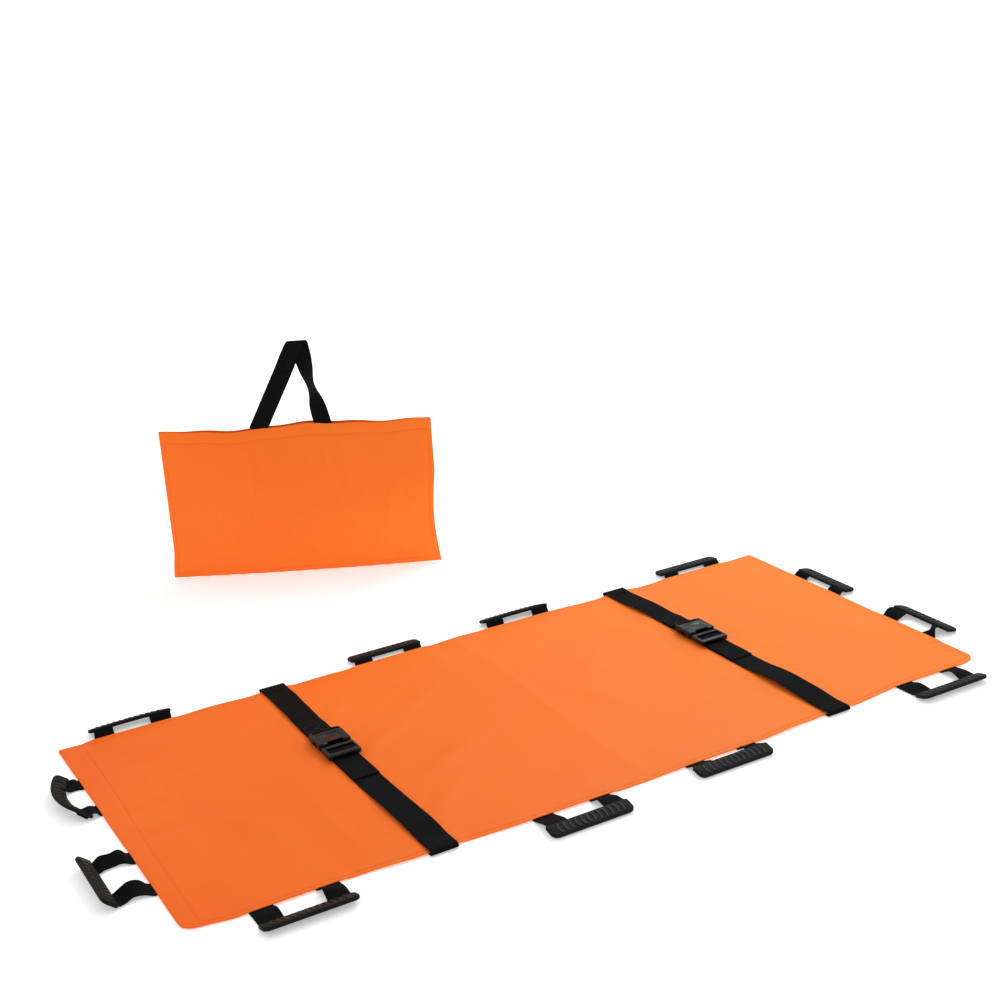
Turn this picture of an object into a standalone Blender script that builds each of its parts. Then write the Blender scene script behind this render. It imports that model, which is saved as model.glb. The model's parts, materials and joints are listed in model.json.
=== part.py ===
"""Soft folding stretcher with its carry pouch.

A coated fabric sheet lies on the floor, z = 0, with its length along X and the head end at +X.
Left is +Y and right is -Y, as seen from the foot end.  The origin is on the floor under the
middle of the sheet.  The sheet folds at three lines across its width, twelve webbing handles
swing about its edges, two straps close with side-release buckles, and the empty pouch stands
behind the left edge.  Every size is in metres.
"""
import math

import bmesh
import bpy
from mathutils import Matrix, Vector

# Driving dimensions of the sheet and of the webbing it is sewn with.
SHEET_LENGTH = 1.60
SHEET_WIDTH = 0.70
SHEET_THICK = 0.003
CORNER_RADIUS = 0.022
WEB_THICK = 0.002
GAP = 0.0003
SHEET_BOTTOM = WEB_THICK + GAP
SHEET_TOP = SHEET_BOTTOM + SHEET_THICK
EDGE = SHEET_WIDTH / 2
END = SHEET_LENGTH / 2

# The three fold lines, from the foot end to the head end.
FOLDS = (-0.476, 0.025, 0.513)
PANELS = ("sheet_foot", "sheet_leg", "sheet_torso", "sheet_head")

# A handle: one U of webbing in a moulded grip, which swings about the edge it is sewn under.
HANDLE_WEB = 0.040
HANDLE_WIDTH = 0.150
HANDLE_AXIS = 0.009
ANCHOR_LENGTH = 0.100
GRIP_LENGTH = 0.158
GRIP_WIDTH = 0.030
GRIP_THICK = 0.008
GRIP_WALL = 0.004
GRIP_CORNER = 0.012

# Where each handle is sewn, and how it lies: how long its legs show, how high the inner edge
# of its grip rests, and how far the grip is tipped, in degrees.
SIDE_HANDLES = (
    ("left_handle_1", 1, -0.655, 0.012, 0.0152, -22),
    ("left_handle_2", 1, -0.119, 0.012, 0.0088, -8),
    ("left_handle_3", 1, 0.187, 0.012, 0.0145, -20),
    ("left_handle_4", 1, 0.640, 0.012, 0.0078, -6),
    ("right_handle_1", -1, -0.625, 0.048, 0.0048, 18),
    ("right_handle_2", -1, -0.137, 0.044, 0.0108, -12),
    ("right_handle_3", -1, 0.169, 0.024, 0.0108, -12),
    ("right_handle_4", -1, 0.666, 0.052, 0.0048, 14),
)
END_HANDLES = (
    ("foot_handle_left", -1, 0.139, 0.017, 0.0045, 40, 0.020),
    ("foot_handle_right", -1, -0.156, 0.062, 0.0045, 40, 0.0),
    ("head_handle_left", 1, 0.118, 0.014, 0.0098, -8, 0.0),
    ("head_handle_right", 1, -0.1645, 0.033, 0.0118, -14, 0.0),
)

# The right edge bows out: how far, where each handle and strap crosses it.
RIGHT_BOW = (
    (-0.625, 0.080, 0.011),
    (-0.376, 0.030, 0.021),
    (-0.137, 0.080, 0.028),
    (0.169, 0.080, 0.027),
    (0.437, 0.030, 0.019),
    (0.666, 0.080, 0.008),
)

# Strap webbing, and the side-release buckle that joins its two halves.
STRAP_WEB = 0.050
STRAPS = (("leg_strap", -0.376), ("chest_strap", 0.437))
STRAP_LOW = SHEET_TOP + GAP + WEB_THICK / 2
STRAP_ARCH = 0.006
BUCKLE_HALF = 0.0315
BUCKLE_INNER = 0.0255
SOCKET_FRONT = 0.0385
SOCKET_BACK = 0.0945
SOCKET_BOTTOM = SHEET_TOP + 0.0029
SOCKET_TOP = SOCKET_BOTTOM + 0.0145
PLUG_FRONT = 0.0378
PLUG_BACK = -0.0055
PLUG_BOTTOM = SHEET_TOP + 0.0034
PLUG_TOP = PLUG_BOTTOM + 0.0100
LATCH_AXIS = (0.0188, PLUG_FRONT + 0.0007)

# The pouch stands on its bottom seam behind the left edge, turned a little to the foot end.
POUCH_PLACE = (-0.05, 0.92)
POUCH_TURN = math.radians(-28)
POUCH_HALF_WIDTH = 0.31
POUCH_HEIGHT = 0.353
POUCH_WALL = 0.0016
POUCH_BULGE = 0.028
POUCH_MOUTH = 0.008
POUCH_SEAM = 0.0006
POUCH_HANDLE_LEAN = math.radians(5)


def clear_scene():
    for thing in list(bpy.data.objects):
        bpy.data.objects.remove(thing, do_unlink=True)


def make_material(name, colour, roughness, metallic=0.0):
    """A plain finish, with its colour in linear values."""
    finish = bpy.data.materials.new(name)
    finish.use_nodes = True
    shader = finish.node_tree.nodes["Principled BSDF"]
    shader.inputs["Base Color"].default_value = (*colour, 1.0)
    shader.inputs["Roughness"].default_value = roughness
    shader.inputs["Metallic"].default_value = metallic
    return finish


def add_empty(name, place, turn=0.0):
    empty = bpy.data.objects.new(name, None)
    empty.location = place
    empty.rotation_euler = (0.0, 0.0, turn)
    bpy.context.collection.objects.link(empty)
    return empty


def add_node(name, shape, finish, parent=None):
    """Make one object from a bmesh, with its faces pointing out."""
    bmesh.ops.recalc_face_normals(shape, faces=shape.faces)
    mesh = bpy.data.meshes.new(name)
    shape.to_mesh(mesh)
    shape.free()
    mesh.materials.append(finish)
    node = bpy.data.objects.new(name, mesh)
    node.parent = parent
    bpy.context.collection.objects.link(node)
    return node


def add_cutter(shape, target, name):
    """Cut a hidden shape out of a node."""
    cutter = add_node(name, shape, target.data.materials[0], target.parent)
    cutter.hide_render = True
    cutter.display_type = "WIRE"
    cut = target.modifiers.new(name, "BOOLEAN")
    cut.operation = "DIFFERENCE"
    cut.object = cutter


def box(low, high):
    """A block between two corners."""
    shape = bmesh.new()
    bmesh.ops.create_cube(shape, size=1.0)
    middle = (Vector(low) + Vector(high)) / 2
    size = Vector(high) - Vector(low)
    place = Matrix.Translation(middle) @ Matrix.Diagonal((*size, 1.0))
    bmesh.ops.transform(shape, matrix=place, verts=shape.verts)
    return shape


def soften(shape, width, segments=1):
    """Bevel every edge of a block a little."""
    bmesh.ops.bevel(shape, geom=shape.edges[:], offset=width, segments=segments,
                    affect="EDGES", profile=0.5)


def slab(outline, bottom, top):
    """An outline in the XY plane, extruded from bottom to top."""
    shape = bmesh.new()
    face = shape.faces.new([shape.verts.new((x, y, bottom)) for x, y in outline])
    risen = bmesh.ops.extrude_face_region(shape, geom=[face])["geom"]
    corners = [part for part in risen if isinstance(part, bmesh.types.BMVert)]
    bmesh.ops.translate(shape, vec=(0, 0, top - bottom), verts=corners)
    return shape


def arc(centre, radius, start, stop, steps):
    """Points along an arc in the plane, angles in degrees."""
    points = []
    for step in range(steps + 1):
        angle = math.radians(start + (stop - start) * step / steps)
        points.append((centre[0] + radius * math.cos(angle), centre[1] + radius * math.sin(angle)))
    return points


def ribbon(path, width, thickness=WEB_THICK):
    """Flat webbing that follows a path in the YZ plane, with its width along X."""
    shape = bmesh.new()
    points = [Vector((0.0, y, z)) for y, z in path]
    across = Vector((width / 2, 0.0, 0.0))
    rings = []
    for index, point in enumerate(points):
        before = points[max(index - 1, 0)]
        after = points[min(index + 1, len(points) - 1)]
        along = (after - before).normalized()
        out = Vector((0.0, -along.z, along.y))
        if 0 < index < len(points) - 1:
            turn = (point - before).normalized().dot(along)
            out /= max(turn, 0.7)
        out *= thickness / 2
        corners = (point - across - out, point + across - out,
                   point + across + out, point - across + out)
        rings.append([shape.verts.new(corner) for corner in corners])
    for first, second in zip(rings, rings[1:]):
        for side in range(4):
            following = (side + 1) % 4
            shape.faces.new((first[side], first[following], second[following], second[side]))
    shape.faces.new(rings[0])
    shape.faces.new(reversed(rings[-1]))
    return shape


def right_edge():
    """The bowed right edge as a line of points, straight where webbing crosses it."""
    points = [(-END, -EDGE)]
    for along, half, bow in RIGHT_BOW:
        points += [(along - half, -EDGE - bow), (along + half, -EDGE - bow)]
    return points + [(END, -EDGE)]


def right_edge_at(along):
    """Where the right edge is, at a place along the sheet."""
    points = right_edge()
    for (start, low), (stop, high) in zip(points, points[1:]):
        if along <= stop:
            return low + (high - low) * (along - start) / (stop - start)
    return -EDGE


def edge_at(side, along):
    return EDGE if side > 0 else right_edge_at(along)


def cut_webbing_recess(panel, name, low, high):
    """A shallow recess in the underside, because webbing is sewn there and cloth sinks round it."""
    add_cutter(box((*low, -SHEET_BOTTOM), (*high, SHEET_BOTTOM)), panel, name + "_recess")


def build_sheet(finish):
    """Four panels, each its own solid, so that the sheet can fold between them."""
    stops = (-END, *FOLDS, END)
    panels = {}
    for name, low, high in zip(PANELS, stops, stops[1:]):
        start, stop = low + GAP, high - GAP
        outline = [(start, right_edge_at(start))]
        outline += [point for point in right_edge() if start < point[0] < stop]
        outline += [(stop, right_edge_at(stop)), (stop, EDGE), (start, EDGE)]
        panel = slab(outline, 0.0, SHEET_TOP)
        if name in ("sheet_foot", "sheet_head"):
            outer = low + GAP if name == "sheet_foot" else high - GAP
            corners = [edge for edge in panel.edges
                       if all(abs(vert.co.x - outer) < GAP for vert in edge.verts)
                       and abs(edge.verts[0].co.y - edge.verts[1].co.y) < GAP]
            bmesh.ops.bevel(panel, geom=corners, offset=CORNER_RADIUS, segments=5,
                            affect="EDGES", profile=0.5)
        panels[name] = add_node(name, panel, finish)
    half = HANDLE_WIDTH / 2 + GAP
    deep = ANCHOR_LENGTH + 2 * GAP
    for name, side, along, *_ in SIDE_HANDLES:
        panel = panels[PANELS[sum(along > fold for fold in FOLDS)]]
        edge = edge_at(side, along)
        near, far = sorted((edge - side * deep, edge + side * GAP))
        cut_webbing_recess(panel, name, (along - half, near), (along + half, far))
    for name, end, across, *_ in END_HANDLES:
        panel = panels["sheet_head" if end > 0 else "sheet_foot"]
        near, far = sorted((end * (END - deep), end * (END + GAP)))
        cut_webbing_recess(panel, name, (near, across - half), (far, across + half))
    for name, along in STRAPS:
        panel = panels[PANELS[sum(along > fold for fold in FOLDS)]]
        half = STRAP_WEB / 2 + GAP
        near = right_edge_at(along) - GAP
        cut_webbing_recess(panel, name, (along - half, near), (along + half, EDGE + GAP))
    for name, fold in zip(PANELS, (FOLDS[0], FOLDS[1], FOLDS[1], FOLDS[2])):
        move_origin(panels[name], fold)


def move_origin(panel, fold):
    """Put a panel's origin, and those of its cutters, on its fold line."""
    cutters = [cut.object for cut in panel.modifiers]
    for node in (panel, *cutters):
        node.data.transform(Matrix.Translation((-fold, 0, 0)))
        node.location.x = fold


def handle_profile(leg, rise, tilt):
    """How far out and how high the webbing is, from the edge to the far side of the grip."""
    along = Vector((math.cos(tilt), math.sin(tilt)))
    face = Vector((leg, rise))
    stations = (-0.0015, GRIP_WALL, GRIP_WIDTH - GRIP_WALL)
    return [Vector((0.0, WEB_THICK / 2))] + [face + along * station for station in stations]


def web_sheet(rows, columns, keep, bow):
    """A flat U of webbing as one surface, in cells between rows and columns."""
    shape = bmesh.new()
    grid = {}
    for row, (out, up) in enumerate(rows):
        for column, along in enumerate(columns):
            swell = bow * (1 - (along / (HANDLE_WIDTH / 2)) ** 2) if row else 0.0
            grid[row, column] = shape.verts.new((along, out + swell, up - HANDLE_AXIS))
    for row in range(len(rows) - 1):
        for column in range(len(columns) - 1):
            if keep(row, column):
                shape.faces.new((grid[row, column], grid[row, column + 1],
                                 grid[row + 1, column + 1], grid[row + 1, column]))
    loose = [vert for vert in shape.verts if not vert.link_faces]
    bmesh.ops.delete(shape, geom=loose, context="VERTS")
    return shape


def thicken(node, thickness):
    solid = node.modifiers.new("webbing_thickness", "SOLIDIFY")
    solid.thickness = thickness
    solid.offset = 0.0
    solid.use_even_offset = True
    return node


def web_columns(spare=0.0):
    """Lines across a U of webbing: two cells for each leg, and four between the legs."""
    outer = HANDLE_WIDTH / 2 + spare
    inner = HANDLE_WIDTH / 2 - HANDLE_WEB - spare
    half = [0.0, inner / 2, inner, (inner + outer) / 2, outer]
    return [-value for value in reversed(half[1:])] + half


def is_leg(column):
    return column < 2 or column > 5


def build_anchor(name, hinge, finish):
    """The webbing's other half, sewn flat under the sheet."""
    inward = [-GAP - distance for distance in (0.0, ANCHOR_LENGTH - HANDLE_WEB, ANCHOR_LENGTH)]
    rows = [(out, WEB_THICK / 2) for out in inward]
    shape = web_sheet(rows, web_columns(), lambda row, column: row == 1 or is_leg(column), 0.0)
    thicken(add_node(name + "_anchor", shape, finish, hinge), WEB_THICK)


def build_grip(name, hinge, finish, profile, tilt, bow):
    """A moulded grip with rounded outer corners, hollow where the webbing runs through it."""
    half = GRIP_LENGTH / 2
    corner = GRIP_CORNER
    outline = arc((half - corner, GRIP_WIDTH - corner), corner, 0, 90, 4)
    outline += [(half * part, GRIP_WIDTH) for part in (0.5, 0.25, 0.0, -0.25, -0.5)]
    outline += arc((corner - half, GRIP_WIDTH - corner), corner, 90, 180, 4)
    outline += arc((0.004 - half, 0.004), 0.004, 180, 270, 2)
    outline += [(half * part, 0.0) for part in (-0.5, -0.25, 0.0, 0.25, 0.5)]
    outline += arc((half - 0.004, 0.004), 0.004, 270, 360, 2)
    shape = slab(outline, -GRIP_THICK / 2, GRIP_THICK / 2)
    rims = [edge for edge in shape.edges if abs(edge.verts[0].co.z - edge.verts[1].co.z) < GAP]
    bmesh.ops.bevel(shape, geom=rims, offset=0.0024, segments=2, affect="EDGES", profile=0.5)
    direction = Vector((math.cos(tilt), math.sin(tilt)))
    face = profile[1] + direction * 0.0015
    for vert in shape.verts:
        along, out, up = vert.co
        swell = bow * (1 - (along / (HANDLE_WIDTH / 2)) ** 2)
        vert.co = (along, face.x + out * math.cos(tilt) - up * math.sin(tilt) + swell,
                   face.y + out * math.sin(tilt) + up * math.cos(tilt) - HANDLE_AXIS)
    grip = add_node(name + "_grip", shape, finish, hinge)
    rows = [face - direction * 0.004, face + direction * (GRIP_WALL - GAP),
            face + direction * (GRIP_WIDTH - GRIP_WALL + GAP)]
    slot = web_sheet(rows, web_columns(GAP), lambda row, column: row == 1 or is_leg(column), bow)
    if bow:
        for vert in slot.verts:
            swell = bow * (1 - (vert.co.x / (HANDLE_WIDTH / 2)) ** 2)
            vert.co.y += swell if abs(vert.co.y - rows[0].x) < GAP else 0.0
    name = name + "_grip_slot"
    add_cutter(slot, grip, name)
    thicken(bpy.data.objects[name], WEB_THICK + 2 * GAP)


def build_handle(name, place, turn, leg, rise, tilt, webbing, rubber, bow=0.0):
    """One handle at a place on the sheet's edge, with its hinge line along that edge."""
    tilt = math.radians(tilt)
    hinge = add_empty(name + "_hinge", (*place, HANDLE_AXIS), math.radians(turn))
    profile = handle_profile(leg, rise, tilt)
    profile[0].x = 0.0012
    shape = web_sheet(profile, web_columns(),
                      lambda row, column: row == 2 or is_leg(column), bow)
    thicken(add_node(name + "_webbing", shape, webbing, hinge), WEB_THICK)
    build_grip(name, hinge, rubber, profile, tilt, bow)
    build_anchor(name, hinge, webbing)


def build_handles(webbing, rubber):
    for name, side, along, leg, rise, tilt in SIDE_HANDLES:
        turn = 0 if side > 0 else 180
        place = (along, edge_at(side, along))
        build_handle(name, place, turn, leg, rise, tilt, webbing, rubber)
    for name, end, across, leg, rise, tilt, bow in END_HANDLES:
        turn = -90 if end > 0 else 90
        build_handle(name, (end * END, across), turn, leg, rise, tilt, webbing, rubber, bow)


def arch(start, stop, low, high, steps=8):
    """A run of strap that lies flat at both ends and lifts a little in the middle."""
    points = []
    for step in range(steps + 1):
        part = step / steps
        lift = high * math.sin(math.pi * part) ** 2
        points.append((start + (stop - start) * part, low + lift))
    return points


def edge_wrap(side, edge, steps=8):
    """Webbing going round the sheet's edge, from its top face to its underside."""
    middle = (SHEET_TOP + SHEET_BOTTOM) / 2
    radius = STRAP_LOW - middle
    return arc((edge, middle), radius, 90, 90 - 180 * side, steps)


def build_socket_webbing(name, finish, parent):
    """Sewn round the socket's bar, over the left edge and all the way under the sheet."""
    bar = (0.0915, SOCKET_BOTTOM + 0.0070)
    upper = STRAP_LOW + WEB_THICK + 2 * GAP
    path = [(0.148, STRAP_LOW), (0.118, STRAP_LOW), (0.104, STRAP_LOW + 0.0015)]
    path += arc(bar, 0.0052, -75, -285, 10)
    path += [(0.107, upper + 0.0045), (0.118, upper + 0.0010), (0.128, upper), (0.148, upper)]
    path += arch(0.162, EDGE - 0.006, STRAP_LOW, STRAP_ARCH)
    path += edge_wrap(1, EDGE)
    path += [(0.33, WEB_THICK / 2), (-0.284, WEB_THICK / 2)]
    add_node(name + "_socket_webbing", ribbon(path, STRAP_WEB), finish, parent)


def build_plug_webbing(name, finish, parent, edge):
    """Sewn under the right edge, and over the sheet to the plug's adjuster."""
    path = [(0.030, STRAP_LOW), (-0.140, STRAP_LOW)]
    path += arch(-0.150, edge + 0.006, STRAP_LOW, STRAP_ARCH)
    path += edge_wrap(-1, edge)
    path += [(edge + 0.015, WEB_THICK / 2), (-0.286, WEB_THICK / 2)]
    add_node(name + "_plug_webbing", ribbon(path, STRAP_WEB), finish, parent)


def build_tail(name, finish, plug):
    """The free end of the webbing, out of the adjuster and back over the strap."""
    over = PLUG_TOP + GAP + WEB_THICK / 2
    rest = STRAP_LOW + WEB_THICK + 3 * GAP
    path = [(0.0078, PLUG_TOP - 0.0060), (0.0078, PLUG_TOP)]
    path += arc((0.0060, over - 0.0018), 0.0018, 0, 90, 4)
    path += [(-0.0050, over), (-0.0095, over - 0.0020), (-0.0160, rest + 0.0025),
             (-0.0230, rest), (-0.0900, rest)]
    add_node(name + "_tail", ribbon(path, STRAP_WEB - 0.001), finish, plug)


def build_socket(name, finish, parent):
    """The buckle's receiving half: open at its mouth and at both sides, with a webbing bar."""
    shape = box((-BUCKLE_HALF, SOCKET_FRONT, SOCKET_BOTTOM), (BUCKLE_HALF, SOCKET_BACK, SOCKET_TOP))
    soften(shape, 0.0022, 2)
    node = add_node(name + "_socket", shape, finish, parent)
    floor = SOCKET_BOTTOM + 0.0023
    cuts = {
        "mouth": ((-0.0245, SOCKET_FRONT - 0.01, floor), (0.0245, 0.0800, floor + 0.0085)),
        "windows": ((-0.05, 0.0520, floor + 0.0010), (0.05, 0.0700, floor + 0.0075)),
        "web_slot": ((-BUCKLE_INNER, 0.0835, 0.0), (BUCKLE_INNER, 0.0885, 0.05)),
        "bar_top": ((-BUCKLE_INNER, 0.0835, SOCKET_BOTTOM + 0.0095), (BUCKLE_INNER, 0.12, 0.05)),
        "bar_under": ((-BUCKLE_INNER, 0.0835, 0.0), (BUCKLE_INNER, 0.12, SOCKET_BOTTOM + 0.0045)),
    }
    for cut, (low, high) in cuts.items():
        add_cutter(box(low, high), node, f"{name}_{cut}")


def build_plug(name, finish, plug):
    """The buckle's other half: a webbing adjuster with a guide tongue that enters the socket."""
    shape = box((-BUCKLE_HALF, PLUG_BACK, PLUG_BOTTOM), (BUCKLE_HALF, PLUG_FRONT, PLUG_TOP))
    soften(shape, 0.0018, 2)
    node = add_node(name + "_plug", shape, finish, plug)
    for cut, low, high in (("slot_1", 0.0190, 0.0260), ("slot_2", 0.0050, 0.0110)):
        add_cutter(box((-BUCKLE_INNER, low, 0.0), (BUCKLE_INNER, high, 0.05)), node, f"{name}_{cut}")
    tongue = box((-0.0065, PLUG_FRONT - 0.006, PLUG_BOTTOM + 0.0028),
                 (0.0065, 0.0780, PLUG_BOTTOM + 0.0068))
    guide = add_node(name + "_tongue", tongue, finish, plug)
    guide.hide_render = True
    guide.display_type = "WIRE"
    join = node.modifiers.new("tongue", "BOOLEAN")
    join.operation = "UNION"
    join.object = guide


def build_latches(name, finish, plug):
    """Two sprung side arms, pressed in by finger and thumb to open the buckle."""
    for hand, side in (("left", -1), ("right", 1)):
        root = add_empty(f"{name}_latch_{hand}_hinge", (side * LATCH_AXIS[0], LATCH_AXIS[1], 0.0))
        root.parent = plug
        low = (-0.0048, 0.0005, PLUG_BOTTOM + 0.0026)
        high = (0.0047, 0.0375, PLUG_BOTTOM + 0.0076)
        arm = box(low, high)
        soften(arm, 0.0008)
        add_node(f"{name}_latch_{hand}", arm, finish, root)


def build_straps(webbing, plastic):
    for name, place in STRAPS:
        strap = add_empty(name, (place, 0.0, 0.0))
        plug = add_empty(name + "_slide", (0.0, 0.0, 0.0))
        plug.parent = strap
        build_socket_webbing(name, webbing, strap)
        build_plug_webbing(name, webbing, strap, right_edge_at(place))
        build_socket(name, plastic, strap)
        build_plug(name, plastic, plug)
        build_latches(name, plastic, plug)
        build_tail(name, webbing, plug)


def pouch_depth(along, up):
    """How far a pouch panel stands out from the seam plane."""
    side = 1 - abs(along / POUCH_HALF_WIDTH) ** 3
    part = up / POUCH_HEIGHT
    return POUCH_SEAM + side * (POUCH_BULGE * math.sin(math.pi * part) + POUCH_MOUTH * part)


def build_pouch_panel(name, side, finish, parent):
    """One wall of the pouch, swelling out from its side and bottom seams, loose at the mouth."""
    columns, rows = 12, 7
    shape = bmesh.new()
    layers = []
    for wall in (0.0, POUCH_WALL):
        layer = {}
        for column in range(columns + 1):
            along = POUCH_HALF_WIDTH * (2 * column / columns - 1)
            for row in range(rows + 1):
                up = POUCH_HEIGHT * row / rows
                depth = side * (pouch_depth(along, up) + wall)
                layer[column, row] = shape.verts.new((along, depth, up))
        layers.append(layer)
    inner, outer = layers
    for column in range(columns):
        for row in range(rows):
            ring = ((column, row), (column + 1, row), (column + 1, row + 1), (column, row + 1))
            for layer in layers:
                shape.faces.new([layer[spot] for spot in ring])
    border = [(column, 0) for column in range(columns)]
    border += [(columns, row) for row in range(rows)]
    border += [(column, rows) for column in range(columns, 0, -1)]
    border += [(0, row) for row in range(rows, 0, -1)]
    for spot, following in zip(border, border[1:] + border[:1]):
        shape.faces.new((inner[spot], inner[following], outer[following], outer[spot]))
    add_node(name, shape, finish, parent)


def build_pouch(fabric, webbing):
    """Two panels sewn at the sides and bottom, and a webbing handle sewn into the mouth."""
    stand = add_empty("pouch", (*POUCH_PLACE, 0.0), POUCH_TURN)
    build_pouch_panel("pouch_front", -1, fabric, stand)
    build_pouch_panel("pouch_back", 1, fabric, stand)
    hinge = add_empty("pouch_handle_hinge", (0.0, -POUCH_MOUTH, POUCH_HEIGHT + 0.0018))
    hinge.parent = stand
    hinge.rotation_euler.x = -POUCH_HANDLE_LEAN
    outline = ((-0.103, 0.0), (0.004, 0.198), (0.044, 0.198), (0.086, 0.0),
               (0.048, 0.0), (0.022, 0.140), (-0.063, 0.0))
    shape = slab(outline, -WEB_THICK / 2, WEB_THICK / 2)
    upright = Matrix.Rotation(math.pi / 2, 3, "X")
    bmesh.ops.rotate(shape, verts=shape.verts, cent=(0, 0, 0), matrix=upright)
    add_node("pouch_handle", shape, webbing, hinge)


clear_scene()
orange = make_material("coated_orange_fabric", (0.95, 0.17, 0.025), 0.5)
black_web = make_material("black_webbing", (0.011, 0.011, 0.013), 0.75)
black_rubber = make_material("black_grip", (0.016, 0.017, 0.019), 0.55)
black_plastic = make_material("black_buckle", (0.010, 0.010, 0.012), 0.28)
build_sheet(orange)
build_handles(black_web, black_rubber)
build_straps(black_web, black_plastic)
build_pouch(orange, black_web)
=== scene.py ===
"""A soft folding stretcher laid open on the floor, with its carry pouch standing behind it."""
import json
import math

import bpy
from mathutils import Matrix, Vector

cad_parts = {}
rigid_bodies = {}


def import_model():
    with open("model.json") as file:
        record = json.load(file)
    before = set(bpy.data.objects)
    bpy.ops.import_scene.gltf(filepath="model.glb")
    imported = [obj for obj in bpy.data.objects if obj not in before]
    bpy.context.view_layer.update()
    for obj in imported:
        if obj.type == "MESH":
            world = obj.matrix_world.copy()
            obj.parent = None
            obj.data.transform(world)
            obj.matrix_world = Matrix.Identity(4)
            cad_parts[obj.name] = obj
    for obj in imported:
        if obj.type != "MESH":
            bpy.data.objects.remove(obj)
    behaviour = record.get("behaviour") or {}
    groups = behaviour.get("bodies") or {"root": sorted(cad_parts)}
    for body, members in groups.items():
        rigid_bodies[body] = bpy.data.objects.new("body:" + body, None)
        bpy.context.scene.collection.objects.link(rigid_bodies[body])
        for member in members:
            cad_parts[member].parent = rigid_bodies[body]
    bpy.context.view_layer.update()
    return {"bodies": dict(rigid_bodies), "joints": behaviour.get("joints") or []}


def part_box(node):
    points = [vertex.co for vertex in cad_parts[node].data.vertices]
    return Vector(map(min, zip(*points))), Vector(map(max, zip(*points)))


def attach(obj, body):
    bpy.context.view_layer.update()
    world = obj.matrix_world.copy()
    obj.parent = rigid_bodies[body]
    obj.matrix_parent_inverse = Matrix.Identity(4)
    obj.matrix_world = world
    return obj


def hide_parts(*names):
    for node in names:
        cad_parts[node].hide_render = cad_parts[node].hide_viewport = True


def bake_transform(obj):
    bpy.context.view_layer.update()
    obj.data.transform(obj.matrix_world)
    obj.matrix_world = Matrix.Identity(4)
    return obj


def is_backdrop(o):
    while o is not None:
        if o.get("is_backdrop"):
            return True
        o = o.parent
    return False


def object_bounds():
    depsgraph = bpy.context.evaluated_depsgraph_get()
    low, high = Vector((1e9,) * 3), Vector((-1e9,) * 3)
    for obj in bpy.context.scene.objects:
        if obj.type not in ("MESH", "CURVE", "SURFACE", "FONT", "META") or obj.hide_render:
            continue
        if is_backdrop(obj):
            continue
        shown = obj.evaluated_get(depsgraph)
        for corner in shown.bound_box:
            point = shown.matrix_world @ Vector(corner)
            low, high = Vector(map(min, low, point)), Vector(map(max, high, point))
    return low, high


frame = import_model()


# ---- The viewpoint ----
# A photographer's standing view of the open stretcher, from beside its foot end.

camera_data = bpy.data.cameras.new("camera")
camera_data.lens = 57.83
camera_data.sensor_width = 36.0
camera_data.clip_end = 900.0
camera = bpy.data.objects.new("camera", camera_data)
camera_turn = Matrix.Rotation(math.radians(-28.47), 3, "Z")
camera_tip = Matrix.Rotation(math.radians(71.19), 3, "X")
camera_roll = Matrix.Rotation(math.radians(-3.674), 3, "Z")
camera.location = (-1.3316, -2.4001, 1.3441)
camera.rotation_euler = (camera_turn @ camera_tip @ camera_roll).to_euler()
bpy.context.scene.collection.objects.link(camera)
bpy.context.scene.camera = camera


# ---- The sheet's coated fabric ----
# Polyester woven flat, dyed orange and coated on its face, so that it wipes clean.  It is cut in
# one length, hemmed all round, and creased a little where it was folded for its pouch.


def linear(hex_colour):
    """A colour as it is seen, from its sRGB hex value to linear light."""
    parts = [int(hex_colour[start:start + 2], 16) / 255 for start in (1, 3, 5)]
    light = [part / 12.92 if part <= 0.04045 else ((part + 0.055) / 1.055) ** 2.4
             for part in parts]
    return (*light, 1.0)


def add(tree, kind, inputs=None, **settings):
    """Add a node, with its settings, and with its inputs set or linked."""
    node = tree.nodes.new(kind)
    for key, value in settings.items():
        setattr(node, key, value)
    for key, value in (inputs or {}).items():
        if isinstance(value, bpy.types.NodeSocket):
            tree.links.new(value, node.inputs[key])
        else:
            node.inputs[key].default_value = value
    return node


def new_finish(name, **sockets):
    """A material with one surface shader, whose even values are set on its own sockets."""
    finish = bpy.data.materials.new(name)
    finish.use_nodes = True
    shader = finish.node_tree.nodes["Principled BSDF"]
    for key, value in sockets.items():
        shader.inputs[key.replace("_", " ")].default_value = value
    return finish, finish.node_tree, shader


def mix_colours(tree, share, first, second, blend_type="MIX"):
    """The colour between two, by a share."""
    node = add(tree, "ShaderNodeMix", data_type="RGBA", blend_type=blend_type)
    for socket, value in ((0, share), (6, first), (7, second)):
        if isinstance(value, bpy.types.NodeSocket):
            tree.links.new(value, node.inputs[socket])
        else:
            node.inputs[socket].default_value = value
    return node.outputs[2]


BAND_SCALE = 0.31416  # sets the bands of a band texture one metre apart


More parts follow.
